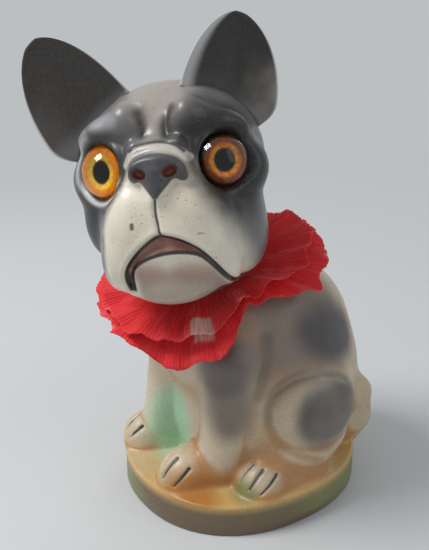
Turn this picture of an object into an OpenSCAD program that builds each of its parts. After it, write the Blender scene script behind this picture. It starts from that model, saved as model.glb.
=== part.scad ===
// Seated bulldog nodder in cast and painted plaster, with a crepe paper ruff and glass eyes.
// Millimetres, +Z up. The dog faces -Y, its own left is +X, and the origin is the middle of
// the base on the floor. The head rests turned and cocked, as it is in the photograph.

/* [Base] */
// Width of the oval base, across the dog
base_w = 94; // [88:1:102]
// Length of the oval base, along the dog
base_l = 103.2; // [98:1:112]
// Height of the base wall
base_h = 14; // [11:0.5:17]
// How square the oval is, 2 for a true ellipse
base_square = 2.2; // [2:0.1:2.6]
// Radius of the base's upper edge
base_round = 1.6; // [1:0.1:2.4]

/* [Body] */
// Half width of the barrel of the body
barrel_r = 32; // [29:0.5:34]
// Half width of the rump
rump_r = 33; // [30:0.5:35]
// Sideways place of each haunch
haunch_x = 30; // [27:0.5:32]
// Radius of the front legs at the wrist
wrist_r = 7.8; // [6.5:0.1:9]
// Sideways place of the left front leg
left_leg_x = 18; // [16:0.5:20]
// Sideways place of the right front leg
right_leg_x = -20; // [-22:0.5:-18]
// How softly one form of the body runs into the next
body_soft = 2.2; // [1.6:0.1:2.8]

/* [Neck] */
// Sideways place of the neck
neck_x = -5.4; // [-7:0.1:-3]
// Lengthways place of the middle of the neck's rim
neck_y = -16.4; // [-18:0.1:-14]
// Height of the middle of the neck's rim
neck_z = 101.3; // [100:0.1:103]
// Forward lean of the neck and its spring, in degrees
neck_lean = 18.5; // [14:0.5:22]
// Outer radius of the body's neck rim
neck_r = 19; // [18:0.5:21]
// Outer radius of the rim round the head's neck opening
head_rim_r = 18.5; // [17.5:0.5:20]
// Radius of the bores that hold the wooden plugs
bore_r = 13; // [12:0.5:14]
// Depth of the bore in the body
body_bore_l = 25; // [22:0.5:27]
// Depth of the bore in the head
head_bore_l = 24; // [22:0.5:26]
// Gap between the rims of body and head
rim_gap = 7; // [6:0.5:9]
// Distance from the body's rim to the middle of the head
head_reach = 39.1; // [38.5:0.1:41]

/* [Head] */
// Turn of the head towards the dog's left, in degrees
head_turn = 48; // [0:1:60]
// Upward tilt of the face, in degrees
head_lift = 12; // [6:0.5:16]
// Sideways cock of the head, in degrees
head_cock = 7.5; // [0:0.5:10]
// Half width of the skull
skull_r = 35; // [33:0.5:37]
// Half width across the cheekbones
cheek_r = 37; // [35:0.5:39]
// How softly one form of the head runs into the next
head_soft = 1.8; // [1.4:0.1:2.4]
// Wall of the head casting
head_wall = 7; // [6:0.5:8]
// Wall of the body casting
body_wall = 8; // [7:0.5:9]
// Wall of the tube that holds the plug inside the head
tube_wall = 4; // [3:0.5:5]

/* [Ears] */
// Half width of the ears at the skull
ear_r = 19.5; // [18:0.5:21]
// Length of the left ear
left_ear_l = 42; // [38:0.5:46]
// Length of the right ear
right_ear_l = 48.5; // [44:0.5:52]
// Thickness of the ears at the middle
ear_t = 6; // [5:0.1:7]
// How far the ears' edges curl forward
ear_cup = 7; // [5:0.5:9]

/* [Eyes] */
// Diameter of each glass eye
eye_d = 19; // [17:0.2:20]
// Height of the glass dome
dome_h = 6; // [5:0.1:7]
// Thickness of the glass behind the dome
glass_t = 1.5; // [1:0.1:2]
// Sideways place of each eye
eye_x = 22.7; // [21:0.1:24]
// How far each eye is turned outwards, in degrees
eye_splay = 36; // [28:1:42]
// Diameter of the black pupil
pupil_d = 8; // [6:0.2:9.5]
// Depth of each eye socket behind the glass
socket_l = 6.5; // [6:0.1:7.5]

/* [Spring] */
// Diameter of the spring wire
wire_d = 1.6; // [1.2:0.1:1.8]
// Radius of the spring, to the middle of its wire
spring_r = 8.5; // [7.5:0.1:9]
// Number of curls in the spring
spring_curls = 7; // [5:1:8]
// Length of each wooden plug
plug_l = 13; // [11:0.5:14]

/* [Ruff] */
// Outer radius of the upper ply of crepe paper
upper_ply_r = 44; // [41:0.5:46]
// Outer radius of the lower ply
lower_ply_r = 46; // [43:0.5:48]
// Thickness of the gathered paper
paper_t = 0.8; // [0.7:0.1:1.1]
// Number of folds round the ruff
ruff_folds = 18; // [12:1:20]
// Height of each fold at the edge, from hollow to crest
fold_h = 3.4; // [2:0.1:4]
// Diameter of the thread that gathers the ruff
thread_d = 1.2; // [1:0.1:1.6]

/* [Hidden] */
$fn = 64;

// Running clearances and fine sizes
glue_gap = 0.1;
drill_gap = 0.4;
lip_l = 1;
staple_d = 1;
shank_d = 1.2;

// Number of segments and rows in the two cast skins
segments = 64;
body_rows = 36;
hollow_rows = 12;
head_rows = 34;
skull_rows = 9;
march_steps = 15;

// The neck axis runs up and forward from the middle of the body's rim
neck_at = [neck_x, neck_y, neck_z];
neck_dir = [0, -sin(neck_lean), cos(neck_lean)];
neck_back = [0, cos(neck_lean), sin(neck_lean)];
head_at = neck_at + head_reach * neck_dir;
lower_plug_top = plug_l - body_bore_l;
upper_plug_foot = rim_gap + head_bore_l - plug_l;
spring_l = upper_plug_foot - lower_plug_top;

// Turning matrices, in the order that rotate() uses
function turn_x(a) = [[1, 0, 0], [0, cos(a), -sin(a)], [0, sin(a), cos(a)]];
function turn_y(a) = [[cos(a), 0, sin(a)], [0, 1, 0], [-sin(a), 0, cos(a)]];
function turn_z(a) = [[cos(a), -sin(a), 0], [sin(a), cos(a), 0], [0, 0, 1]];
function flip(m) = [for (i = [0 : 2]) [for (j = [0 : 2]) m[j][i]]];
function mirrored(v, side) = [side * v.x, v.y, v.z];
function unit(v) = v / norm(v);

head_frame = turn_z(head_turn) * turn_x(-head_lift) * turn_y(-head_cock);
crown_dir = flip(head_frame) * neck_dir;
crown_side = let (v = cross([0, 1, 0], crown_dir)) v / norm(v);
crown_back = cross(crown_dir, crown_side);

// An egg is an ellipsoid: its middle, half sizes and turn. A limb is a tapered rod with round
// ends. Each gives about how far a point lies from its skin, less than nothing inside.
function egg(at, r, turn = [0, 0, 0]) =
    let (m = flip(turn_z(turn.z) * turn_y(turn.y) * turn_x(turn.x)))
    [at, [m[0] / r.x, m[1] / r.y, m[2] / r.z],
     [m[0] / (r.x * r.x), m[1] / (r.y * r.y), m[2] / (r.z * r.z)]];
function egg_gap(p, e) =
    let (d = p - e[0], k = norm(e[1] * d))
    k * (k - 1) / (norm(e[2] * d) + 0.000001);
function limb(from, to, r1, r2) =
    [from, to - from, (to - from) * (to - from), r1, r2 - r1];
function limb_gap(p, l) =
    let (d = p - l[0], t = max(0, min(1, d * l[1] / l[2])))
    norm(d - t * l[1]) - l[3] - t * l[4];

// Forms run into each other through the sum of their exponentials
function total(v) = v * [for (x = v) 1];
function melted(gaps, soft) = -soft * ln(total([for (g = gaps) exp(-g / soft)]));
function hollowed(gap, cut, soft) = soft * ln(exp(gap / soft) + exp(-cut / soft));

// Walks in along a ray until it meets the skin
function met(gap_at, from, dir, t, steps) =
    steps == 0 ? t : met(gap_at, from, dir, t - 0.88 * gap_at(from + t * dir), steps - 1);

// The base is an oval slab with a rounded upper edge
function base_reach(a) =
    1 / pow(pow(abs(cos(a)) / (base_w / 2), base_square)
            + pow(abs(sin(a)) / (base_l / 2), base_square), 1 / base_square);
function base_gap(p) =
    let (out = norm([p.x, p.y]) - base_reach(atan2(p.y, p.x)) + base_round,
         up = p.z - base_h + base_round)
    norm([max(out, 0), max(up, 0)]) + min(max(out, up), 0) - base_round;

// The forms of the body. Paws lie on the base, legs stand on it and haunches overhang it.
paw_z = base_h + 4;
foot_z = base_h + 2.5;
body_eggs = [
    egg([0, 20, 45], [rump_r, 39, 38]),
    egg([0, 10.5, 65], [barrel_r, 42.5, 37.5], [-12, 0, 0]),
    egg([0, -14, 72], [25, 22, 26]),
    egg([-1, -16, 34], [18, 13, 30]),
    egg([left_leg_x + 9, -3, 38], [12, 17, 24]),
    egg([right_leg_x - 8, -3, 38], [12, 17, 24]),
    egg([haunch_x, 15, 40], [14, 23, 21.5], [0, 0, -8]),
    egg([-haunch_x, 15, 40], [14, 23, 21.5], [0, 0, 8]),
    egg([left_leg_x - 7, -36.5, paw_z + 1], [9.5, 11.5, 8.2], [18, 0, 0]),
    egg([right_leg_x - 4, -36.5, paw_z + 1], [9, 9, 8], [18, 0, 0]),
    egg([34, -14, paw_z], [9, 9.5, 7.5], [12, 0, 0]),
    egg([-34, -14, paw_z], [9, 9.5, 7.5], [12, 0, 0]),
    egg([30, 10, 27], [12.5, 25, 12]),
    egg([-30, 10, 27], [12.5, 25, 12]),
    egg([10, 46, 24], [22, 12, 13])
];
body_limbs = [
    limb(neck_at - 19 * neck_dir, neck_at + 4 * neck_dir, neck_r + 1, neck_r - 0.5),
    limb([left_leg_x + 2, -19, 68], [left_leg_x, -24, paw_z + 4], 12, wrist_r),
    limb([left_leg_x - 1, -25, paw_z + 1], [left_leg_x - 6, -36, foot_z + 1], 7.5, 7.5),
    limb([right_leg_x + 1, -22, 68], [right_leg_x, -31, paw_z + 4], 10.5, wrist_r - 0.8),
    limb([34, -12, foot_z], [37, 27, foot_z], 7.5, 7.5),
    limb([-34, -12, foot_z], [-37, 27, foot_z], 7.5, 7.5),
    limb([20, 45, 22], [25, 49, 36], 8, 7.5)
];
function body_gap(p) = melted(concat(
    [base_gap(p)],
    [for (e = body_eggs) egg_gap(p, e)],
    [for (l = body_limbs) limb_gap(p, l)]), body_soft);

// The hollow inside the body, one wall in from the rump and the barrel. It is met by rays from
// its own middle, about the line to the foot of the bore.
hollow_eggs = [
    egg([0, 20, 45], [rump_r - body_wall, 39 - body_wall, 38 - body_wall]),
    egg([0, 11, 51], [barrel_r - body_wall, 27, 27])
];
function hollow_gap(p) = melted([for (e = hollow_eggs) egg_gap(p, e)], body_soft);
hollow_at = [0, 16, 47];
hollow_dir = unit(neck_at - body_bore_l * neck_dir - hollow_at);
hollow_side = unit([1, 0, 0] - hollow_dir.x * hollow_dir);
hollow_back = cross(hollow_dir, hollow_side);

// Rays up and outwards at 45 degrees, from points that climb from the base to the neck
function ray_root(g, a) =
    (1 - g) * [0, 0, base_h - base_reach(a)]
    + g * (neck_at - (neck_r + 3) * neck_dir);
function ray_dir(g, a) =
    let (lean = neck_lean * g)
    [cos(a), sin(a) * cos(lean) - sin(lean), sin(a) * sin(lean) + cos(lean)];
function ray_hit(gap_at, g, a, far) =
    let (from = ray_root(g, a), dir = ray_dir(g, a))
    from + max(1, met(gap_at, from, dir, far, march_steps)) * dir;
function hollow_hit(dir) =
    hollow_at + met(function (p) hollow_gap(p), hollow_at, dir, 50, march_steps) * dir;
function neck_ring(r, w) =
    [for (k = [0 : segments - 1]) let (a = 360 * k / segments)
        neck_at + w * neck_dir + r * (cos(a) * [1, 0, 0] + sin(a) * neck_back)];
function base_ring(inset, z) =
    [for (k = [0 : segments - 1]) let (a = 360 * k / segments, r = base_reach(a) - inset)
        [r * cos(a), r * sin(a), z]];

// Joins closed rings of equal length, and a point at each end, into one skin
function skin_faces(rings, n = segments) =
    let (last = 1 + rings * n)
    concat(
        [for (k = [0 : n - 1]) [0, 1 + (k + 1) % n, 1 + k]],
        [for (i = [0 : rings - 2], k = [0 : n - 1], half = [0, 1])
            let (a = 1 + i * n + k, b = 1 + i * n + (k + 1) % n)
            half == 0 ? [a, b, b + n] : [a, b + n, a + n]],
        [for (k = [0 : n - 1]) [last, last - n + k, last - n + (k + 1) % n]]);
function turned(faces) = [for (f = faces) [f[2], f[1], f[0]]];
function all_of(rings) = [for (ring = rings) for (p = ring) p];

// One cast shell: floor, base wall, outer skin, neck rim, bore, and the hollow down to its floor
module body_skin() {
    bore = bore_r - drill_gap;
    deep = -body_bore_l - lip_l;
    rows = [for (i = [0 : body_rows]) pow(i / body_rows, 0.9) * 0.98];
    outer = [for (g = rows)
        [for (k = [0 : segments - 1]) ray_hit(function (p) body_gap(p), g, 360 * k / segments, 84)]];
    inner = [for (i = [0 : hollow_rows - 1]) let (t = 29 + 143 * i / (hollow_rows - 1))
        [for (k = [0 : segments - 1])
            hollow_hit(sin(t) * (cos(360 * k / segments) * hollow_side + sin(360 * k / segments) * hollow_back)
                + cos(t) * hollow_dir)]];
    rings = concat(
        [base_ring(0.8, 0), base_ring(0, 0.8), base_ring(0, base_h - base_round)],
        outer,
        [neck_ring(neck_r, 0), neck_ring(bore, 0), neck_ring(bore, deep)],
        inner);
    middle = [0, 0, 0];
    well = hollow_hit(-hollow_dir);
    polyhedron(concat([middle], all_of(rings), [well]), turned(skin_faces(len(rings))), convexity = 6);
}

// Moves a shape that stands on the origin to a height on the neck axis
module on_neck(w = 0) {
    translate(neck_at + w * neck_dir) rotate([neck_lean, 0, 0]) children();
}

module body_casting() {
    color("tan")
    difference() {
        body_skin();
        on_neck(-body_bore_l) rotate(180 / segments) cylinder(r = bore_r, h = body_bore_l + 2);
    }
}

// The forms of the head, in its own frame: the face looks along -Y from the middle of the skull
eye_y = -22.3;
eye_z = 6;
function both(at, r, turn = [0, 0, 0]) =
    [for (side = [1, -1]) egg(mirrored(at, side), r, [turn.x, side * turn.y, side * turn.z])];
head_eggs = concat(
    [egg([0, 4, 8], [skull_r, 31, 30]),
     egg([0, -2, -10], [skull_r - 3, 26, 26]),
     egg([0, -9, 3], [cheek_r, 20, 20]),
     egg([0, -22, -17], [24, 16.5, 19]),
     egg([0, -32, 6], [10.5, 6, 5]),
     egg([0, -25, -4], [9, 11.5, 9]),
     egg([0, -20, -35], [17, 11.5, 9], [20, 0, 0]),
     egg([23, -6, -20], [11, 17, 17]),
     egg([-19.5, -5, -17], [10, 16, 15])],
    both([11, -24, -10], [11, 13, 14], [0, -16, 0]),
    both([15.5, -21, -23], [9.5, 14, 15.5], [-8, -18, 0]),
    both([20, -16, 20], [12, 9, 6], [0, 20, 12]),
    both([11, -21, 23], [6.5, 8, 7]));
wrinkle = limb([-7.5, -28, 12.4], [7.5, -28, 12.4], 2.6, 2.6);
mouth_cuts = [for (side = [1, -1])
    limb([0, -40, -21], [side * 12, -36, -26.5], 2.2, 1.4)];
eye_cuts = both([eye_x + 4.5, eye_y - 7, eye_z], [11, 8, 11], [0, 0, eye_splay]);
function with_cuts(gap, cuts, p, i = 0) =
    i == len(cuts) ? gap
    : with_cuts(hollowed(gap, i < 2 ? egg_gap(p, cuts[i]) : limb_gap(p, cuts[i]), 1), cuts, p, i + 1);
function head_gap(p) =
    with_cuts(melted(concat([for (e = head_eggs) egg_gap(p, e)], [limb_gap(p, wrinkle)]), head_soft),
              concat(eye_cuts, mouth_cuts), p);

// The hollow inside the head, one wall in from the skull and the jaw
skull_eggs = [
    egg([0, 6, 8], [skull_r - head_wall, 29 - head_wall, 30 - head_wall]),
    egg([0, 2, -8], [skull_r - 3 - head_wall, 25 - head_wall, 27 - head_wall])
];
function skull_gap(p) = melted([for (e = skull_eggs) egg_gap(p, e)], head_soft);

// Rays from the middle of the head, from the crown down to the neck opening
function head_ray(t, a) =
    sin(t) * (cos(a) * crown_side + sin(a) * crown_back) + cos(t) * crown_dir;
function head_ring(r, w) =
    [for (k = [0 : segments - 1]) let (a = 360 * k / segments)
        (w - head_reach) * crown_dir + r * (cos(a) * crown_side + sin(a) * crown_back)];
function head_row(gap_at, t, far) =
    [for (k = [0 : segments - 1]) let (d = head_ray(t, 360 * k / segments))
        met(gap_at, [0, 0, 0], d, far, march_steps) * d];

// An ear is an oval section carried from the skull to the tip, bent forward at both edges. Its
// first ring slants, since the ear leaves the skull higher up at its inner edge. The outer edge
// swells out a little further than the inner one.
ear_rows = 10;
ear_swell = 0.13;
left_ear = [1, [18, 3, 20], unit([13, 0, 43]), 32, left_ear_l, 0.34];
right_ear = [-1, [-24, 3, 18], unit([-28, -2, 42]), -12, right_ear_l, 0.24];
// Rows and columns of the head's skin that each ear grows out of
left_hole = [5, 18, 5, 8];
right_hole = [5, 18, 25, 28];
function hole_wide(hole) = hole[3] - hole[2];
function hole_sides(hole) = 2 * (hole[1] - hole[0] + hole_wide(hole));
function ear_ring(ear, hole, i) =
    let (n = hole_sides(hole), root = ear[1], along = ear[2], look = turn_z(ear[3]) * [0, -1, 0],
         face = unit(look - along * (look * along)), wide = -ear[0] * cross(face, along))
    [for (j = [0 : n - 1])
        let (a = 180 + ear[0] * 360 * (j - hole_wide(hole) / 2) / n, u = cos(a),
             foot = ear[5] * (1 - pow(max(0, u), 1.5)),
             v = foot + (1 - foot) * pow(i / ear_rows, 0.85),
             h = ear_r * pow(1 - pow(v, 2.6), 0.62), t = ear_t / 2 * (1.1 - 0.6 * v))
        root + ear[4] * v * along + h * u * (1 + ear_swell * max(0, u)) * wide
            + (ear_cup * (u * u - 0.4) * h / ear_r + t * sin(a)) * face];
function ear_points(ear, hole) =
    concat([for (i = [0 : ear_rows - 1]) for (p = ear_ring(ear, hole, i)) p], [ear[1] + ear[4] * ear[2]]);
// The corners of the skin round a hole, in the order in which the skin's own faces turn
function hole_loop(hole) =
    let (n = segments)
    concat([for (k = [hole[2] : hole[3] - 1]) 1 + hole[0] * n + k],
        [for (i = [hole[0] : hole[1] - 1]) 1 + i * n + hole[3]],
        [for (k = [hole[3] : -1 : hole[2] + 1]) 1 + hole[1] * n + k],
        [for (i = [hole[1] : -1 : hole[0] + 1]) 1 + i * n + hole[2]]);
function ear_faces(hole, first) =
    let (loop = hole_loop(hole), n = len(loop),
         at = function (i, j) i == 0 ? loop[j % n] : first + (i - 1) * n + j % n)
    concat(
        [for (i = [0 : ear_rows - 1], j = [0 : n - 1], half = [0, 1])
            half == 0 ? [at(i, j), at(i, j + 1), at(i + 1, j + 1)] : [at(i, j), at(i + 1, j + 1), at(i + 1, j)]],
        [for (j = [0 : n - 1]) [at(ear_rows, j), at(ear_rows, j + 1), first + ear_rows * n]]);
function in_hole(f, hole) =
    let (i = floor((f[0] - 1) / segments), k = (f[0] - 1) % segments,
         i2 = floor((f[2] - 1) / segments))
    f[0] > 0 && i >= hole[0] && i < hole[1] && k >= hole[2] && k < hole[3] && i2 == i + 1;

// One cast shell: outer skin, rim, bore, the tube round the bore, and the hollow up to its crown
module head_skin() {
    bore = bore_r - drill_gap;
    deep = rim_gap + head_bore_l + lip_l;
    tube = bore_r + tube_wall;
    last = 180 - atan2(head_rim_r + 1.5, head_reach - rim_gap - 1.5);
    outer = [for (i = [1 : head_rows]) head_row(function (p) head_gap(p), i / head_rows * last, 64)];
    inner = [for (i = [0 : skull_rows]) let (t = 138 - 132 * i / skull_rows)
        head_row(function (p) skull_gap(p), t, 45)];
    top = met(function (p) head_gap(p), [0, 0, 0], crown_dir, 64, march_steps);
    roof = met(function (p) skull_gap(p), [0, 0, 0], crown_dir, 45, march_steps);
    rings = concat(outer,
        [head_ring(head_rim_r, rim_gap), head_ring(bore, rim_gap), head_ring(bore, deep),
         head_ring(tube, deep)],
        inner);
    skin = concat([top * crown_dir], all_of(rings), [roof * crown_dir]);
    left = ear_points(left_ear, left_hole);
    right = ear_points(right_ear, right_hole);
    polyhedron(concat(skin, left, right),
        concat([for (f = skin_faces(len(rings))) if (!in_hole(f, left_hole) && !in_hole(f, right_hole)) f],
            ear_faces(left_hole, len(skin)), ear_faces(right_hole, len(skin) + len(left))),
        convexity = 8);
}

// Places a shape in the head's own frame
module in_head() {
    translate(head_at) rotate([0, 0, head_turn]) rotate([-head_lift, 0, 0])
        rotate([0, -head_cock, 0]) children();
}

// Places a shape at the back of an eye's glass, looking out along +Z
module at_eye(side) {
    in_head() translate([side * eye_x, eye_y, eye_z]) rotate([0, 0, side * eye_splay])
        rotate([90, 0, 0]) children();
}

module head_casting() {
    color("dimgray")
    difference() {
        in_head() head_skin();
        on_neck(rim_gap - 2) cylinder(r = bore_r, h = head_bore_l + 2);
        for (side = [1, -1]) at_eye(side)
            translate([0, 0, -glass_t - socket_l]) cylinder(r = eye_d / 2 + glue_gap, h = 30);
    }
}

// Each eye is a clear dome with its iris and pupil fused behind, on a wire set in putty
enamel_t = 0.6;
module eye_glass(side) {
    r = eye_d / 2;
    ball = (r * r + dome_h * dome_h) / (2 * dome_h);
    edge = asin(r / ball);
    color("lightcyan")
    at_eye(side) rotate_extrude()
        polygon(concat([[0, -glass_t], [r, -glass_t]],
            [for (i = [0 : 12]) let (a = edge * (1 - i / 12)) [ball * sin(a), dome_h - ball + ball * cos(a)]]));
}
module eye_iris(side) {
    color("orange")
    at_eye(side) translate([0, 0, -glass_t - enamel_t]) difference() {
        cylinder(d = eye_d, h = enamel_t);
        translate([0, 0, -1]) cylinder(d = pupil_d, h = enamel_t + 2);
    }
}
module eye_pupil(side) {
    color("black")
    at_eye(side) translate([0, 0, -glass_t - enamel_t]) cylinder(d = pupil_d, h = enamel_t);
}
wire_foot_r = 2.2;
wire_foot_t = 0.7;
module eye_wire(side) {
    color("silver")
    at_eye(side) translate([0, 0, -glass_t - enamel_t]) {
        translate([0, 0, -wire_foot_t]) cylinder(r = wire_foot_r, h = wire_foot_t);
        translate([0, 0, enamel_t - socket_l + lip_l]) cylinder(d = shank_d, h = socket_l - enamel_t - lip_l);
    }
}
module eye_putty(side) {
    color("wheat")
    at_eye(side) translate([0, 0, -glass_t]) difference() {
        translate([0, 0, -socket_l]) cylinder(d = eye_d, h = socket_l - enamel_t);
        translate([0, 0, -enamel_t - wire_foot_t]) cylinder(r = wire_foot_r + glue_gap, h = 2);
        translate([0, 0, -socket_l - 1]) cylinder(r = shank_d / 2 + glue_gap, h = socket_l);
    }
}
module left_eye_glass() eye_glass(1);
module right_eye_glass() eye_glass(-1);
module left_eye_iris() eye_iris(1);
module right_eye_iris() eye_iris(-1);
module left_eye_pupil() eye_pupil(1);
module right_eye_pupil() eye_pupil(-1);
module left_eye_wire() eye_wire(1);
module right_eye_wire() eye_wire(-1);
module left_eye_putty() eye_putty(1);
module right_eye_putty() eye_putty(-1);

// The spring lies flat for half a curl at each end and climbs evenly between
curl_rings = 8;
wire_sides = 6;
spring_pitch = (spring_l - wire_d - 2 * glue_gap) / (spring_curls - 1);
spring_foot = lower_plug_top + wire_d / 2 + glue_gap;
function spring_point(i) =
    let (u = i / curl_rings)
    [spring_r * cos(360 * u), spring_r * sin(360 * u),
     spring_foot + spring_pitch * max(0, min(spring_curls - 1, u - 0.5))];
spring_steps = spring_curls * curl_rings;
spring_line = concat(
    [spring_point(0) - [0, wire_d, 0]],
    [for (i = [0 : spring_steps]) spring_point(i)],
    [spring_point(spring_steps) + [0, wire_d, 0]]);
spring_gap = min([for (i = [0 : spring_steps - curl_rings / 2 - 1],
    j = [i + curl_rings / 2 + 1 : spring_steps]) norm(spring_point(i) - spring_point(j))]) - wire_d;
echo(spring_least_gap = spring_gap);
module neck_spring() {
    last = len(spring_line) - 1;
    rings = [for (i = [0 : last])
        let (along = unit(spring_line[min(i + 1, last)] - spring_line[max(i - 1, 0)]),
             out = unit([spring_line[i].x, i == 0 || i == last ? 0 : spring_line[i].y, 0]),
             side = unit(out - along * (out * along)), up = cross(along, side))
        [for (k = [0 : wire_sides - 1]) let (a = 360 * k / wire_sides)
            spring_line[i] + wire_d / 2 * (cos(a) * side + sin(a) * up)]];
    color("gray")
    on_neck() polyhedron(concat([spring_line[0]], all_of(rings), [spring_line[last]]),
        turned(skin_faces(len(rings), wire_sides)), convexity = 8);
}

// Turned wooden plugs, drilled for the legs of the staples
staple_l = 6;
staple_reach = wire_d / 2 + staple_d / 2 + 0.5;
staple_turn = 45;
staple_hole_r = staple_d * 0.71 + glue_gap;
module plug() {
    r = bore_r - glue_gap;
    difference() {
        rotate_extrude()
            polygon([[0, -plug_l], [r - 0.8, -plug_l], [r, 0.8 - plug_l], [r, -0.8], [r - 0.8, 0], [0, 0]]);
        for (turn = [staple_turn, 180 - staple_turn], out = [-1, 1]) rotate([0, 0, turn])
            translate([spring_r + out * staple_reach, 0, -staple_l - 0.5]) cylinder(r = staple_hole_r, h = 20);
    }
}
// A staple of square wire over the spring's end curl
module staple(turn) {
    out = staple_reach + staple_d / 2;
    in = staple_reach - staple_d / 2;
    top = wire_d + 4 * glue_gap;
    rotate([0, 0, turn]) translate([spring_r, 0, 0]) rotate([90, 0, 0])
        linear_extrude(height = staple_d, center = true)
            polygon([[-out, -staple_l], [-in, -staple_l], [-in, top], [in, top], [in, -staple_l],
                [out, -staple_l], [out, top + staple_d - 0.3], [out - 0.3, top + staple_d],
                [0.3 - out, top + staple_d], [-out, top + staple_d - 0.3]]);
}
module lower_neck_plug() {
    color("burlywood") on_neck(lower_plug_top) plug();
}
module upper_neck_plug() {
    color("burlywood") on_neck(upper_plug_foot) rotate([180, 0, 0]) plug();
}
module lower_left_staple() {
    color("silver") on_neck(lower_plug_top) staple(staple_turn);
}
module lower_right_staple() {
    color("silver") on_neck(lower_plug_top) staple(180 - staple_turn);
}
module upper_left_staple() {
    color("silver") on_neck(upper_plug_foot) rotate([180, 0, 0]) staple(staple_turn);
}
module upper_right_staple() {
    color("silver") on_neck(upper_plug_foot) rotate([180, 0, 0]) staple(180 - staple_turn);
}

// The ruff is crepe paper gathered on the neck. Turns are measured from the dog's front towards
// its left. The lower ply hangs over the left of the chest and both stand out level behind.
ruff_columns = 90;
ruff_rows = 5;
ruff_in_r = neck_r + 1.6;
upper_ply_w = -1.9;
lower_ply_w = upper_ply_w - paper_t - 0.5;
function swell(a, middle, spread) =
    let (off = abs(a - middle) > 180 ? 360 - abs(a - middle) : abs(a - middle))
    exp(-off * off / (spread * spread));
function ragged(a) = 1.1 * sin(7 * a + 40) + 0.8 * sin(13 * a) + 0.6 * sin(23 * a + 70);
function fold(a, s) =
    fold_h / 2 * s * sin(ruff_folds * a + 25 * sin(3 * a)) * (0.75 + 0.25 * sin(5 * a + 30));
function upper_edge(a) =
    [upper_ply_r + ragged(a + 50) - 8 * swell(a, 90, 35) + 3 * swell(a, 150, 30),
     -9 * swell(a, 25, 55) + 3 * swell(a, -105, 40)];
function lower_edge(a) =
    [lower_ply_r + ragged(a) - 14 * swell(a, 98, 28) - 6 * swell(a, 50, 30) + 2 * swell(a, -50, 30),
     -4 - 17 * swell(a, 30, 36) - 5 * swell(a, 85, 25)];
function ply_place(q, a) =
    neck_at + q[1] * neck_dir + q[0] * (sin(a) * [1, 0, 0] - cos(a) * neck_back);
// Paper that would lie in the plaster is lifted clear of it, along the neck
function lifted(q, a, clear) = [q[0], q[1] + 1.15 * max(0, clear - body_gap(ply_place(q, a)))];
function ply_point(a, s, edge, w, clear) =
    let (r = ruff_in_r + (edge[0] - ruff_in_r) * s, drop = w + (edge[1] - w) * pow(s, 1.5) + fold(a, s))
    lifted(lifted([r, drop], a, clear * min(1, 0.15 + s)), a, clear * min(1, 0.15 + s));
module ply(edge_of, w, clear) {
    rows = [for (i = [0 : ruff_rows]) i / ruff_rows];
    skin = function (half)
        [for (s = rows) [for (k = [0 : ruff_columns - 1])
            let (a = 360 * k / ruff_columns, edge = edge_of(a), q = ply_point(a, s, edge, w, clear),
                 ahead = ply_point(a, s + 0.02, edge, w, clear) - q, up = unit([-ahead[1], ahead[0]]))
            ply_place(q + half * up, a)]];
    top = skin(paper_t / 2);
    under = skin(-paper_t / 2);
    n = ruff_columns;
    rings = concat(top, [for (i = [ruff_rows : -1 : 0]) under[i]], [top[0]]);
    count = 2 * (ruff_rows + 1);
    faces = [for (i = [0 : count - 1], k = [0 : n - 1], half = [0, 1])
        let (below = (i + 1) % count, a = i * n + k, b = i * n + (k + 1) % n,
             c = below * n + (k + 1) % n, d = below * n + k)
        half == 0 ? [a, b, c] : [a, c, d]];
    color("firebrick") polyhedron(all_of([for (i = [0 : count - 1]) rings[i]]), faces, convexity = 8);
}
module ruff_upper() ply(function (a) upper_edge(a), upper_ply_w, 2.6);
module ruff_lower() ply(function (a) lower_edge(a), lower_ply_w, 1);

// The thread that gathers the ruff lies on the paper's inner edge
module ruff_tie() {
    color("darkred")
    on_neck(upper_ply_w + paper_t / 2 + thread_d / 2 + glue_gap) rotate_extrude()
        translate([neck_r + thread_d / 2 + 0.7, 0]) circle(d = thread_d, $fn = 24);
}

body_casting();
head_casting();
neck_spring();
lower_neck_plug();
upper_neck_plug();
lower_left_staple();
lower_right_staple();
upper_left_staple();
upper_right_staple();
left_eye_glass();
right_eye_glass();
left_eye_iris();
right_eye_iris();
left_eye_pupil();
right_eye_pupil();
left_eye_wire();
right_eye_wire();
left_eye_putty();
right_eye_putty();
ruff_upper();
ruff_lower();
ruff_tie();
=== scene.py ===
import bpy, math
import numpy as np
from mathutils import Matrix, Vector


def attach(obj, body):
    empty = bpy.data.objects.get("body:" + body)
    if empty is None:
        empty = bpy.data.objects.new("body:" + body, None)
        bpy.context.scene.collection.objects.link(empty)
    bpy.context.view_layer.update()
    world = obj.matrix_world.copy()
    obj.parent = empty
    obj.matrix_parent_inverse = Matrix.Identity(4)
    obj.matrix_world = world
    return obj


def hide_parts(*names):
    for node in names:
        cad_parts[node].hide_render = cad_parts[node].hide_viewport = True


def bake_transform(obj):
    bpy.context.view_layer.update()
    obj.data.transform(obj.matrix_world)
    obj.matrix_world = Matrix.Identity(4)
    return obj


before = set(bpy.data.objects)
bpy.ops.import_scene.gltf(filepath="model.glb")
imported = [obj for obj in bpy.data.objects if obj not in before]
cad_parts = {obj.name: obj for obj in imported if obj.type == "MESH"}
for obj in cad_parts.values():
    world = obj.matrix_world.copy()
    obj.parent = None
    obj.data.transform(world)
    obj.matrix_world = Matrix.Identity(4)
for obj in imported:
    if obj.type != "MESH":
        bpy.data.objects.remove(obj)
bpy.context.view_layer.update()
scene = bpy.context.scene
mm = 0.001
print("frame loaded")

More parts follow.
